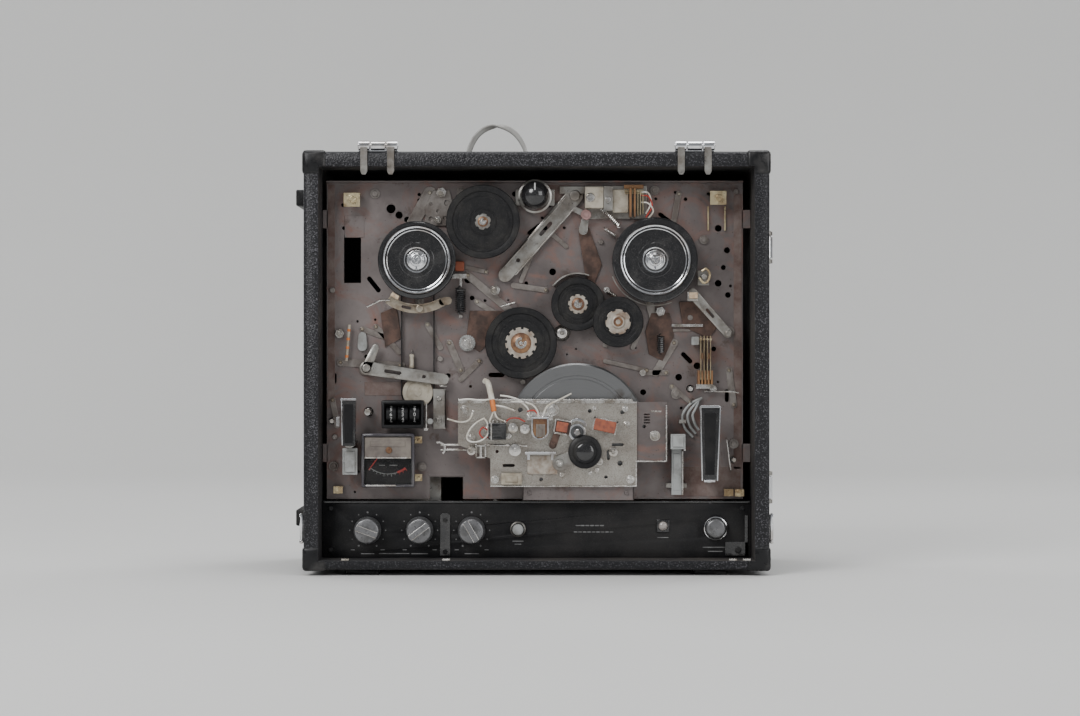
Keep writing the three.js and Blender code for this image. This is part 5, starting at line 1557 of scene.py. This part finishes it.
def make_brakes():
    """The curved brake under the supply table and the straight one by the take-up table, with their felts."""
    x, z = SUPPLY
    down = -TAU / 4
    start, end = down - 0.65, down + 0.55
    arm = [prism(ring_sector(x, z, 38, 46, start, end, 36), *BRAKE_SHEET),
           prism(ring_sector(x, z, 38, 39.2, start, end, 36), -76.4, -73),
           lathe([(0, -77.6), (2.6, -77.6), (3.2, -77), (3.2, -72.6)], *polar(x, z, 42, down + 0.05), 28),
           prism(capsule(*polar(x, z, 42, end), *polar(x, z, 44, end + 0.1), 7), *BRAKE_SHEET)]
    plate = make("left_brake_plate", arm, BRASS_STEEL, "left_brake", replaces=["left_brake_arm"], bevel=0.35)
    carve(plate, prism(capsule(*polar(x, z, 42, start + 0.35), *polar(x, z, 42, start + 0.5), 2.4),
                       *BRAKE_CUT), edges=FINE_EDGES)
    make("left_brake_felt", prism(ring_sector(x, z, 34.5, 38.2, start, start + 0.2, 8), -80.6, -73),
         PALE_FELT, "left_brake", bevel=0.5)
    tail_start = Vector((x + 42 * cos(start), -75.6, z + 42 * sin(start)))
    rod = tube([tail_start + Vector((2, 0, -1)), tail_start + Vector((-7, 0, -1.6)),
                tail_start + Vector((-18, 0, -7))], 0.9, 10)
    make("left_brake_rod", rod, BRIGHT, "left_brake", bevel=0)

    arm = [prism(capsule(135, 243, 166, 208, 9, 7.5), *BRAKE_SHEET),
           lathe([(0, -78), (2.4, -78), (3, -77.4), (3, -72.6)], 166, 208, 28),
           prism([(130.5, 236), (139.5, 236), (139.5, 238), (132, 238), (132, 244), (130.5, 244)], -80.4,
                 -73)]
    plate = make("right_brake_plate", arm, STEEL, "right_brake",
                 replaces=["right_brake_arm"], bevel=0.35)
    carve(plate, prism(capsule(148, 228.5, 153, 222.8, 2.6), *BRAKE_CUT), edges=FINE_EDGES)
    make("right_brake_felt", box(132, 139.4, -80.6, -73.4, 238.2, 243.6), PALE_FELT, "right_brake", bevel=0.6)
    clip = tube(smooth_line([(141, -79, 256), (144, -81, 252), (148, -80, 253), (150, -78, 259),
                             (147, -78, 264), (143, -78, 262)]), 1.0, 9)
    posts = [lathe([(0, -79), (2.2, -79), (2.6, -78.4), (2.6, PLATE_Y)], 145, 257, 20),
             box(140, 150, -68, -66.8, 250, 263)]
    make("takeup_clip", clip, CADMIUM, bevel=0)
    make("takeup_clip_post", posts, STEEL, bevel=0.3)


def make_long_levers():
    """The play lever across the lower left and the speed shift arm at the top."""
    lever = [prism(capsule(-148, 178, -81, 168, 12, 10), *LEVER_SHEET),
             prism(capsule(-148, 178, -140, 196, 9, 6), *LEVER_SHEET),
             lathe([(0, -72), (3, -72), (3.6, -71.4), (3.6, -67)], -148, 178, 28),
             box(-84, -78, -71.4, -67.4, 161.6, 163)]
    plate = make("play_lever_plate", lever, STEEL, "play_link", replaces=["play_lever"],
                 bevel=0.35)
    carve(plate, prism(capsule(-131, 175.4, -119, 173.6, 3), *LEVER_CUT),
          prism(disc(-98, 170.6, 1.6, 16), *LEVER_CUT), edges=FINE_EDGES)
    shift = [prism(capsule(33.4, 328.3, -27.4, 258.9, 15, 12), *SHIFT_SHEET),
             lathe([(0, -66), (4, -66), (4.8, -65.4), (4.8, -62)], 33.4, 328.3, 28)]
    for offset in (-6.6, 5.4):
        dx, dz = offset * 0.752, -offset * 0.659
        shift.append(prism(capsule(30 + dx, 322 + dz, -22 + dx, 263 + dz, 1.2), -65, -63))
    plate = make("shift_arm_plate", shift, STEEL, "speed_shift", replaces=["speed_shift_arm"], bevel=0.3)
    carve(plate, prism(capsule(12, 303.9, 4, 294.8, 3.4), *SHIFT_CUT),
          prism(disc(-16, 272, 1.8, 16), *SHIFT_CUT), edges=FINE_EDGES)


def paddle(name, outline, front, back, body, node, slots_at, pin):
    """A tall black key with a dark inset on its face, on a pivot rod."""
    x, z = pin
    make(name, prism(outline, front + 0.8, back), GLOSS_BLACK, body, replaces=[node], bevel=1.1, segments=3)
    rod = lathe([(0, back - 2), (5, back - 2), (5, PLATE_Y - 1), (3.4, PLATE_Y - 0.6), (3.4, PLATE_Y)], x, z,
                28)
    make(name + "_pivot", rod, STEEL, body, bevel=0.2)
    inset = [(slots_at[0] + (px - slots_at[0]) * 0.62, slots_at[1] + (pz - slots_at[1]) * 0.86)
             for px, pz in outline]
    make(name + "_inset", prism(inset, front + 0.3, front + 1.2), BLACK_PANEL, body, bevel=0.25)


def make_keys():
    """The transport key at the right and the record key at the left."""
    outline = [(142.5, 82), (155.5, 82), (158, 144), (141, 144)]
    paddle("transport_key", outline, -94, -84, "transport_control", "transport_lever", (149.2, 113),
           (149, 84))
    frames = [box(141.4, 157.6, -94.2, -84.6, 144, 146), box(144, 153.6, -94.2, -86, 80, 82)]
    for (ax, az), (bx, bz) in (((141, 144.6), (142.5, 81.6)), ((158, 144.6), (155.5, 81.6))):
        frames.append(prism(capsule(ax, az, bx, bz, 1.1), -94, -86))
    make("transport_key_trim", frames, CHROME, "transport_control", bevel=0.3)
    outline = [(-167.4, 111), (-156, 111), (-155.4, 150), (-168.2, 150)]
    paddle("record_key", outline, -92, -84, "record_control", "record_lever", (-161.6, 130), (-161.5, 114))
    trim = [box(-169, -155.2, -92.2, -85, 150.4, 152), prism(capsule(-167.9, 150, -167.2, 112, 1), -92.1,
                                                             -86), box(-172.6, -169.4, -90, -87, 128, 136)]
    make("record_key_trim", trim, CHROME, "record_control", bevel=0.3)
    base = [box(-168, -155, -80, -72, 85.7, 108.8), box(-166, -157, -81.4, -79.6, 88, 106),
            box(-164, -159, -72.4, PLATE_Y, 90, 100), box(-167.4, -155.6, -81.2, -79.8, 96.4, 97.6)]
    make("record_key_base", base, GREY_NYLON, bevel=0.8)


def make_pause():
    """The pause slide in its guide."""
    slide = [box(115.8, 128.7, -84, -73, 108, 121), box(117.6, 127, -85.4, -83.8, 110, 119.4),
             box(117, 126, -74, -70.6, 68, 109)]
    slide += [box(118.5, 124.5, -74.6, -73.4, 72, 104)]
    make("pause_slide", slide, GREY_NYLON, "pause_control", replaces=["pause_slider"], bevel=0.9, segments=3)
    make("pause_slide_rib", [box(127.2, 128.9, -84.6, -73, 106.6, 107.8),
                             box(126.2, 127.2, -75.4, -70.6, 68, 106)], BRIGHT, "pause_control", bevel=0.25)
    guide = [box(112.6, 116.4, -69.6, PLATE_Y, 74, 78), box(126.8, 130.4, -69.6, PLATE_Y, 74, 78),
             box(112.6, 130.4, -70.2, -69, 74, 78)]
    make("pause_guide", guide, STEEL, bevel=0.3)


def make_selector():
    """The speed selector: a ribbed dome with a pointer, in its bridge."""
    low, high = box_mm("speed_selector")
    x, z, r = (low[0] + high[0]) / 2, (low[2] + high[2]) / 2, (high[0] - low[0]) / 2
    front = low[1]
    dome = [(0, front)] + [(r * sin(a) * 0.985, front + 11.6 * (1 - cos(a)))
                           for a in (TAU / 4 * i / 14 for i in range(1, 15))]
    dome += [(r, front + 12.6), (r, front + 22), (r - 0.6, front + 23.4), (5, front + 24), (5, PLATE_Y - 0.4),
             (0, PLATE_Y - 0.4)]
    knob = make("selector_knob", lathe(dome, x, z, 96), GLOSS_BLACK, "speed_control",
                replaces=["speed_selector"], bevel=0, angle=50)
    carve(knob, *[prism(disc(*polar(x, z, r + 0.5, a), 0.9, 8), front + 9, front + 25)
                  for a in around(26)], edges=(0, 0, 45))
    make("selector_pointer", [prism(capsule(x, z + 3, x, z + 9.4, 1.3), front + 0.6, front + 8)], WHITE_INK,
         "speed_control", bevel=0.2)
    base = [hoop([(r + 0.8, -68), (r + 2.6, -67.4), (r + 2.6, -66.4), (r + 0.8, -66.2)], x, z, 60),
            box(x - 17, x + 17, -66.3, -65.2, z - 8, z + 6)]
    base += [box(x - 16.4, x - 15.2, -66, PLATE_Y, z - 8, z + 6),
             box(x + 15.2, x + 16.4, -66, PLATE_Y, z - 8, z + 6)]
    plate = make("selector_bridge", base, STEEL, bevel=0.3)
    carve(plate, prism(disc(x, z, 7.4, 28), -72, -60), edges=(0.2, 2, 40))


def make_speed_switch():
    """The wafer switch at the top, with its leaves, springs and wires."""
    body = [box(42, 58, -75.6, -62, 316.6, 335.4), box(66, 80, -69.6, -62, 313, 333.4)]
    make("switch_body", body, CREAM, replaces=["speed_switch"], bevel=1.0, segments=3)
    black = [box(58, 66, -74, -62, 314.6, 336), box(20, 42, -64.4, PLATE_Y, 330, 336.4),
             box(42, 96, -64, PLATE_Y, 308, 337)]
    make("switch_frame", black, STEEL, bevel=0.4)
    discs = [lathe([(0, -77), (3.4, -77), (4, -76.4), (4, -75)], 46.6, 326, 32),
             lathe([(0, -76.8), (2.4, -76.8), (2.4, -74)], 62, 324, 28)]
    make("switch_studs", discs, BRIGHT, bevel=0.2)
    board = [box(80.6, 82.4, -75, -62, 309, 334), box(84.4, 86, -75, -62, 309, 334),
             box(76, 93, -69, -67.6, 334, 337.4)]
    make("switch_boards", board, BROWN_BOARD, bevel=0.2)
    slats = [box(76.5, 93, -71.4 - 0.4 * (i % 2), -69, 334.6 + i * 1.3 - 5, 335.3 + i * 1.3 - 5)
             for i in range(3)]
    leaves = [box(87.6 + i * 2.2, 88.2 + i * 2.2, -73, -63, 310 + i, 333 - 2 * i) for i in range(3)]
    make("switch_leaves", slats + leaves, CADMIUM, bevel=0.1)
    roller = [lathe([(0, -72), (2, -72), (2, -71), (4.2, -70.6), (4.6, -70), (4.6, -66.6), (4.2, -66),
                     (0, -66)], 43, 311.4, 40)]
    make("switch_roller", roller, PINK, bevel=0)
    make("switch_roller_arm", [prism(capsule(43, 311.4, 34, 316, 5), -65.8, -64.6),
                               prism(capsule(43, 311.4, 40.6, 298, 5, 8), -65.6, -64.8)], STEEL, bevel=0.25)
    springs = [spring((54, -68, 320), (73, -68, 300), 2.1, 0.42, 13),
               spring((58, -66, 300), (70, -66, 292), 1.7, 0.36, 9)]
    springs += [spring((60, -66, 246), (70, -66, 240), 1.6, 0.36, 8)]
    make("switch_springs", springs, BRIGHT, bevel=0)
    for i, (z0, z1) in enumerate(((331, 312), (328, 309), (322, 306))):
        cable(f"switch_wire_{i}", [(91, -71, z0), (97, -72, z0 - 1), (99.4 + i, -71, (z0 + z1) / 2),
                                   (95, -69, z1)], 0.7, (WHITE, RED, WHITE)[i])


def make_lever_group():
    make_brakes()
    make_long_levers()
    make_keys()
    make_pause()
    make_selector()
    make_speed_switch()


# ---------------------------------------------------------- level meter and tape counter
def digits(text, height, x, z, front, depth=0.4):
    """Figures in the built-in typeface, centred on (x, z), standing depth behind the plane front."""
    curve = bpy.data.curves.new("figures", "FONT")
    curve.body = text
    curve.size = height * 1.4
    curve.align_x = "CENTER"
    curve.extrude = depth / 2
    curve.resolution_u = 3
    obj = bpy.data.objects.new("figures", curve)
    bpy.context.scene.collection.objects.link(obj)
    graph = bpy.context.evaluated_depsgraph_get()
    graph.update()
    mesh = bpy.data.meshes.new_from_object(obj.evaluated_get(graph))
    verts = [(x + v.co.x, front + depth / 2 - v.co.z, z - height / 2 + v.co.y) for v in mesh.vertices]
    faces = [list(face.vertices) for face in mesh.polygons]
    bpy.data.objects.remove(obj)
    return verts, faces


def make_meter():
    """The level meter: a smoked case, its cover, dial, scale, needle and window."""
    low, high = box_mm("meter_body")
    x0, x1, z0, z1, front = low[0], high[0], low[2], high[2], low[1]
    needle_low = box_mm("meter_needle")[0]
    px, pz = -128.5, 112
    house = make("meter_housing", box(x0, x1, front + 0.6, high[1], z0, z1), SMOKE, replaces=["meter_body"],
                 bevel=1.4, segments=3)
    settle(house)
    carve(house, box(x0 + 2.6, x1 - 2.6, front - 5, front + 6, z0 + 2.6, z1 - 2.6), edges=(0.3, 2, 40))
    split = 101
    cover = [box(x0 + 3, x1 - 3, front + 0.3, front + 1.8, split, z1 - 3),
             box(x0 + 3, x1 - 3, front + 0.3, front + 5.6, z1 - 4.2, z1 - 3),
             box(x0 + 8, x1 - 8, front - 0.3, front + 0.6, split + 9, z1 - 6)]
    make("meter_cover", cover, METER_COVER, bevel=0.5)
    make("meter_cover_screw", [screw(px + 0.8, split + 6, front + 0.3, 1.9, 0.6)], BRASS_BROWN, bevel=0.1)
    make("meter_ledge", [box(x0 + 2.8, x1 - 2.8, front - 0.2, front + 2, split - 1.2, split),
                         box(x0 + 4, x1 - 16, front - 0.2, front + 2, z0 + 1, z0 + 2.2)], BRIGHT, bevel=0.3)
    make("meter_dial", [box(x0 + 2.8, x1 - 2.8, front + 5, front + 6.2, z0 + 2.8, split)], BLACK_PANEL,
         bevel=0)
    face = front + 4.9

    def arc(r0, r1, a0, a1, n=24):
        return prism(ring_sector(px, pz, r0, r1, radians(a0), radians(a1), n), face - 0.08, face + 0.2)
    white = [arc(25.4, 26, 234, 287)]
    white += [arc(26, 28.2 if i % 2 == 0 else 27.2, a - 0.5, a + 0.5, 2)
              for i, a in enumerate(range(234, 290, 7))]
    white += [box(px - 8, px - 3, face - 0.08, face + 0.2, 93.4, 94.2),
              box(px + 1, px + 8, face - 0.08, face + 0.2, 93.4, 94.2)]
    make("meter_scale", white, FADED_INK, bevel=0)
    make("meter_red_zone", [arc(24.6, 26.4, 288, 306), *[arc(26.4, 28.2, a - 0.5, a + 0.5, 2)
                                                         for a in (291, 298, 305)]], RED_INK, bevel=0)
    lean = math.degrees(math.atan2(needle_low[0] + 0.6 - px, pz - needle_low[2]))
    blade = prism([(px - 0.35, pz - 27.6), (px + 0.35, pz - 27.6), (px + 0.55, pz + 3), (px - 0.55, pz + 3)],
                  -77.4, -76.9)
    hub = lathe([(0, -78), (1.8, -78), (2.2, -77.6), (2.2, -76.2), (0, -76.2)], px, pz, 24)
    make("meter_pointer", [turned(blade, -lean, "Y", (px, 0, pz)), hub], RED_INK, "needle",
         replaces=["meter_needle"], bevel=0)
    make("meter_window", [box(x0 + 1.2, x1 - 1.2, front, front + 0.5, z0 + 1.2, split - 1.6)], CLEAR,
         bevel=0.2)
    rim = [box(x0 + 0.4, x0 + 1.6, front, front + 2, z0 + 1, z1 - 1),
           box(x1 - 1.6, x1 - 0.4, front, front + 2, z0 + 1, z1 - 1),
           box(x0 + 3, x1 - 12, front, front + 1.6, z0 + 0.4, z0 + 1.8),
           box(x0 + 10, x1 - 8, front, front + 1.6, z1 - 1.8, z1 - 0.4)]
    make("meter_rim", rim, SMOKE, bevel=0.35)
    terminals = [lathe([(0, -70), (1.6, -69.6), (1.8, -68)], x1 + 3.4, z, 16) for z in (z1 - 6, z0 + 8)]
    make("meter_terminals", terminals + [box(x1 - 0.5, x1 + 6, -68.4, -66.6, z - 3, z + 3)
                                         for z in (z1 - 6, z0 + 8)], CADMIUM, bevel=0.2)


def make_counter():
    """The tape counter: three figured drums in a black case, and its reset stud."""
    low, high = box_mm("counter_body")
    body = make("counter_case", box(low[0], high[0], low[1], high[1], low[2], high[2]), BLACK_PANEL,
                replaces=["counter_body"], bevel=1.2, segments=3)
    settle(body)
    carve(body, box(low[0] + 2.4, high[0] - 2.4, low[1] - 3, high[1] - 2, low[2] + 3, high[2] - 2.8),
          edges=(0.25, 2, 40))
    legs = [box(low[0] + 4, low[0] + 9, high[1] - 0.4, PLATE_Y, low[2] + 4, low[2] + 12),
            box(high[0] - 9, high[0] - 4, high[1] - 0.4, PLATE_Y, low[2] + 4, low[2] + 12)]
    make("counter_legs", legs, STEEL, bevel=0.2)
    for place, node in ((2, "hundreds"), (1, "tens"), (0, "units")):
        d_low, d_high = box_mm("counter_drum_" + node)
        x, y, z = ((a + b) / 2 for a, b in zip(d_low, d_high))
        half, r = (d_high[0] - d_low[0]) / 2, (d_high[2] - d_low[2]) / 2
        profile = [(0, -half), (r - 1.2, -half), (r - 0.9, -half + 0.3), (r - 0.1, -half + 0.7),
                   (r - 0.1, half - 0.7), (r - 0.9, half - 0.3), (r - 1.2, half), (0, half)]
        wheel = placed(lathe(profile, segments=60), (x, y, z), -TAU / 4, "Z")
        drum_body = "drum_" + node
        make("drum_wheel_" + node, wheel, BLACK_PANEL, drum_body, replaces=["counter_drum_" + node], bevel=0)
        figures = [turned(digits(str(i), 3.3, x, z, y - r - 0.02), 36 * (i - place * 3), "X", (x, y, z))
                   for i in range(10)]
        make("drum_figures_" + node, figures, WHITE_INK, drum_body, bevel=0)
    reset = [lathe([(0, -86), (2.2, -86), (2.6, -85.4), (2.6, -81), (1.2, -80.6), (1.2, PLATE_Y)], -91.8, 132,
                   24)]
    make("counter_reset", reset, GREY_NYLON, bevel=0)


# ---------------------------------------------------------- control panel
PANEL_FACE = box_mm("control_panel")[0][1]
KNOB_FRONT = -83.6
SCALE_RADIUS = 15.6  # of the dots round a knob
KNOB_TURNS = {"tone_knob": -20, "volume_knob": 37, "balance_knob": -60}
PRINTED = (PANEL_FACE - 0.07, PANEL_FACE + 0.2)  # front and back of a printed mark


def bar_mark(x, z, width, height=0.7):
    """A printed bar where the real panel has lettering."""
    return prism(capsule(x - width / 2, z, x + width / 2, z, height), *PRINTED)


def make_knob(name, turn):
    """A fluted knob turned to where the photograph shows it. Returns the printed dots of its scale."""
    x, z = axle(name)
    low = box_mm(name)[0]
    body = name + "_body"
    side = [(0, KNOB_FRONT), (9.4, KNOB_FRONT), (10.2, KNOB_FRONT + 0.4), (10.9, KNOB_FRONT + 1.4),
            (11.1, KNOB_FRONT + 2.4), (11.3, PANEL_FACE - 4), (11.9, PANEL_FACE - 2.6), (12, PANEL_FACE - 1),
            (3.2, PANEL_FACE - 1), (3.2, PANEL_FACE + 3), (0, PANEL_FACE + 3)]
    knob = make(name + "_barrel", lathe(side, x, z, 120), KNOB_FACE, body, replaces=[name], bevel=0, angle=30)
    flutes = [prism(disc(*polar(x, z, 11.5, a), 0.42, 6), KNOB_FRONT + 3, PANEL_FACE - 3.4)
              for a in around(40)]
    carve(knob, *flutes, edges=(0, 0, 30))
    bar = [(-10.3, -1.6), (-9.3, -2.6), (9.3, -2.6), (10.3, -1.6), (10.3, 1.6), (9.3, 2.6), (-9.3, 2.6),
           (-10.3, 1.6)]
    grip = prism([(x + a, z + b) for a, b in bar], low[1], KNOB_FRONT + 0.5)
    make(name + "_bar", turned(grip, -turn, "Y", (x, 0, z)), KNOB_FACE, body, bevel=0.7, segments=3)
    rails = [turned(box(x - 9.4, x + 9.4, low[1] + 0.1, low[1] + 0.8, z + side * 2.35 - 0.3,
                        z + side * 2.35 + 0.3), -turn, "Y", (x, 0, z)) for side in (-1, 1)]
    make(name + "_rails", rails, BRIGHT, body, bevel=0.1)
    dot = turned(prism(disc(x - 8.2, z, 1.1, 20), low[1] + 0.02, low[1] + 0.4), -turn, "Y", (x, 0, z))
    make(name + "_dot", dot, WHITE_INK, body, bevel=0)
    return [prism(disc(*polar(x, z, SCALE_RADIUS, radians(240 - 30 * i)), 0.55 if i % 5 else 0.85, 12),
                  *PRINTED) for i in range(11)]


def make_panel():
    """The control panel with its knobs, buttons, lamp, strips, screws and printed marks."""
    finish_node("control_panel", BLACK_PANEL, 0.4)
    marks = []
    for name, turn in KNOB_TURNS.items():
        marks += make_knob(name, turn)
    for name, width in (("tone_knob", 11), ("volume_knob", 14), ("balance_knob", 12)):
        x, z = axle(name)
        marks += [bar_mark(x, z - 20.4, width), bar_mark(x - 13, z - 17, 3), bar_mark(x + 13, z - 17, 3)]
    marks += [bar_mark(-124, 16.6, 26), bar_mark(36, 41, 3.4)]
    marks += [bar_mark(40 + i * 4.2, 41, 2.6, 1.0)
              for i in range(5)] + [bar_mark(34 + i * 3.9, 35.4, 2.4, 0.8) for i in range(9)]

    x, z = axle("power_button")
    cap = [(0, -78), (6.6, -78), (7.6, -77.7), (8.5, -76.8), (8.8, -75.6), (8.8, -70), (7.9, -69.5),
           (7.9, -58), (0, -58)]
    make("power_cap", lathe(cap, x, z, 72), KNOB_FACE, "power_switch", replaces=["power_button"], bevel=0,
         angle=40)
    ring = hoop([(9, PANEL_FACE + 0.2), (9, -71.2), (9.5, -72), (10.1, -71.8), (10.8, -69.6),
                 (11, PANEL_FACE + 0.2)], x, z, 80)
    make("power_ring", ring, CHROME, bevel=0, angle=40)
    marks += [bar_mark(x, z - 16.8, 21, 0.8), bar_mark(x, z - 20.4, 12, 0.8)]

    x, z = axle("monitor_button")
    pin = [(0, -75), (3.6, -75), (4.5, -74.6), (4.9, -73.8), (4.9, -69.5), (3.9, -69), (3.9, -60), (0, -60)]
    make("monitor_cap", lathe(pin, x, z, 48), GREY_NYLON, "monitor_switch", replaces=["monitor_button"],
         bevel=0, angle=40)
    ring = hoop([(5.2, PANEL_FACE + 0.2), (5.2, -68.4), (5.8, -68.8), (6.6, -68.2), (6.9, PANEL_FACE + 0.2)],
                x, z, 56)
    make("monitor_ring", ring, STEEL, bevel=0, angle=40)
    marks += [bar_mark(x, z - 10.4, 9), bar_mark(x, z - 13, 5)]

    x, z = 110, 40.6
    bezel = make("lamp_bezel", box(x - 5.6, x + 5.6, PANEL_FACE - 1.6, PANEL_FACE + 0.2, z - 5.6, z + 5.6),
                 GLOSS_BLACK, bevel=0.5)
    carve(bezel, prism(disc(x, z, 4.2, 32), PANEL_FACE - 4, PANEL_FACE + 3), edges=(0.2, 2, 40))
    make("lamp_lens", lathe([(0, PANEL_FACE - 3), (1.8, PANEL_FACE - 2.8), (3.2, PANEL_FACE - 2.1),
                             (4, PANEL_FACE - 1)], x, z, 40), LAMP_LENS, bevel=0)
    marks += [bar_mark(x, z - 10, 9)]
    make("panel_marks", marks, FADED_INK, bevel=0)

    lip = [box(-185.6, 185.6, PANEL_FACE - 1.4, PANEL_FACE + 0.1, 60.6, 62.4)]
    strips = [prism([(-84, 14.5), (-75, 14.5), (-75, 50), (-77, 52), (-82, 52), (-84, 50)], PANEL_FACE - 1.5,
                    PANEL_FACE + 0.1), box(164, 184, PANEL_FACE - 1.5, PANEL_FACE + 0.1, 14.6, 27),
              box(181, 184, PANEL_FACE - 1.5, PANEL_FACE + 0.1, 14.6, 50)]
    make("panel_strips", lip + strips, GLOSS_BLACK, bevel=0.4)
    heads = [(-79.5, 46, 2.2), (-79.5, 18.4, 2.2), (175.2, 19.9, 3), (-179, 20, 2), (-179, 56, 2),
             (179, 56, 2)]
    make("panel_screws", [screw(x, z, PANEL_FACE - 1.4 if x in (-79.5, 175.2) else PANEL_FACE, r, 0.5 + x,
                                washer=False) for x, z, r in heads], CORNER_ENAMEL, bevel=0.12)
    tabs = []
    for x in (-164.3, -77.6, 168.6, 180.4):
        tabs += [box(x - 3.4, x + 3.4, -98.6, -90, INSIDE_BOTTOM - 0.1, INSIDE_BOTTOM + 1.6)]
    make("rim_tabs", tabs, BRIGHT, bevel=0.3)


# ---------------------------------------------------------- smaller works on the chassis and behind it
def make_switch_stack():
    """The leaf switch worked by the transport lever: springy leaves clamped between insulating blocks."""
    low, high = 164, 206
    lefts = (142.2, 145, 147.8, 150.6)
    leaves = [box(x, x + 0.5, -75, -64, low + 4, high) for x in lefts]
    leaves += [prism(disc(x + 0.25, high - 3, 1.1, 10), -76, -74.6) for x in lefts]
    make("switch_leaves", leaves, CADMIUM, bevel=0)
    blocks = [box(140 + i * 2.8, 141.7 + i * 2.8, -74, PLATE_Y, low, low + 12) for i in range(5)]
    blocks += [box(x, x + 1.6, -74, -66, 186, 191) for x in (143, 148.6)]
    make("switch_blocks", blocks, BROWN_BOARD, bevel=0.2)
    make("switch_cap", [box(134.6, 141.6, -70, -63, 198, 205.4)], GREY_NYLON, bevel=0.9)
    rods = [tube([(146, -66, 157.6), (171, -66, 157.6), (176, -66, 156.4)], 0.8, 8),
            box(117.6, 145, -63.4, -61.6, 214, 216.4), box(139, 154, -64, -61.4, low - 4, low)]
    make("switch_rods", rods, BRIGHT, bevel=0.2)


def make_loose_parts():
    """Small brackets, rods, springs and wires, each where the photograph shows it."""
    wall = [box(-90, -79, -64.6, -63.4, 125, 160), box(-80.2, -79, -64.6, PLATE_Y, 126, 159),
            screw(-84.7, 151.4, -64.6, 2.3, 0.4, washer=False), screw(-84.7, 132.2, -64.6, 2.6, 1.3)]
    make("lead_bracket", wall, STEEL, bevel=0.25)
    top, foot = Vector((-162.8, -66, 215.8)), Vector((-165.5, -66, 184.3))
    make("striped_rod", tube([top, foot], 1.3, 12), CREAM, bevel=0)
    bands = [tube([top.lerp(foot, t), top.lerp(foot, t + 0.07)], 1.45, 12) for t in (0.12, 0.36, 0.6, 0.84)]
    make("striped_rod_bands", bands, ORANGE, bevel=0)
    make("nylon_paddle", [prism(capsule(-151.8, 197, -151.8, 206, 8.6, 7), -63.6, PLATE_Y)], GREY_NYLON,
         bevel=0.5)
    x, y = -108.7, -64.2
    resistor = lathe([(0, -6), (1.7, -6), (2.1, -5.4), (2.1, -4), (1.8, -3.4), (1.8, 3.4), (2.1, 4),
                      (2.1, 5.4), (1.7, 6), (0, 6)], segments=20)
    make("resistor_body", placed(resistor, (x, y, 184), TAU / 4), CREAM, bevel=0)
    make("resistor_leads", [tube([(x, -60.5, 174), (x, y, 175.5), (x, y, 192.5), (x, -60.5, 194)], 0.4, 8)],
         BRIGHT, bevel=0)
    coils = [spring((-66, -67, 250), (-66, -67, 224), 4, 0.8, 11),
             spring((108, -67, 208), (108, -67, 190), 3, 0.6, 9)]
    make("dark_springs", coils, GLOSS_BLACK, bevel=0)
    holders = [box(-76, -61, -69, PLATE_Y, 256, 260), box(-67, -65, -68, -66, 249, 257),
               box(-67.4, -64.6, -68, PLATE_Y, 222, 224.4),
               tube([(-31, -67, 231.5), (-19, -67, 235), (-18, PLATE_Y, 235.2)], 0.8, 8),
               tube([(165.4, PLATE_Y, 116.8), (165.4, -69, 115.6), (168.9, -69, 89.5),
                     (168.9, PLATE_Y, 88.4)], 0.75, 8)]
    make("rods_and_hangers", holders, BRIGHT, bevel=0.2)
    make("stop_block", [box(-71, -63, -66, PLATE_Y, 262.4, 271)], FELT, bevel=0.8)
    for i in range(3):
        g = 4.4 * i
        cable(f"ribbon_{i + 1}", [(144 - g * 0.3, -63, 152 - g * 0.2), (134 + g * 0.5, -66, 147 - g * 0.5),
                                  (127 + g, -66.5, 137), (129 + g, -66, 126 + g * 0.4),
                                  (136 + g * 0.6, -63, 118 + g * 0.7)], 1.15, GREY_NYLON)
    make("harness_clips", [tube([(136, -61, 146), (134, -69, 149), (136, -61, 152)], 0.6, 8),
                           box(124, 130, -68.2, PLATE_Y, 130, 133)], STEEL, bevel=0.15)


def make_rivets():
    """Riveted ends and pivots on the fixed links."""
    spots = [(-93, 331), (-60, 259), (-52, 236), (-171, 183), (-140, 214), (98, 236), (120, 200), (92, 174),
             (113, 174), (118, 162), (134, 148), (96, 176), (-76, 200), (-66, 176), (-95, 216), (70, 333),
             (118, 297), (124, 330), (-44, 262), (168, 176), (172, 146), (-178, 150), (8, 246), (-119, 180),
             (-152, 212), (-50, 184)]
    heads = [lathe([(0, PLATE_Y - 2.3), (1.1, PLATE_Y - 2.1), (1.6, PLATE_Y - 1.6), (1.7, PLATE_Y - 1.1)], x,
                   z, 16) for x, z in spots]
    make("rivets", heads, BRASS_STEEL, bevel=0)


def make_inside():
    """The transformer and the circuit board behind the chassis, seen through its openings."""
    finish_node("power_transformer", STEEL, 0.6)
    finish_node("amplifier_board", BROWN_BOARD, 0.3)


def make_more():
    make_switch_stack()
    make_loose_parts()
    make_rivets()
    make_inside()


set_camera()
make_lead()
set_stage()
make_case()
make_chassis()
make_drive()
make_head_group()
make_lever_group()
make_meter()
make_counter()
make_panel()
make_more()
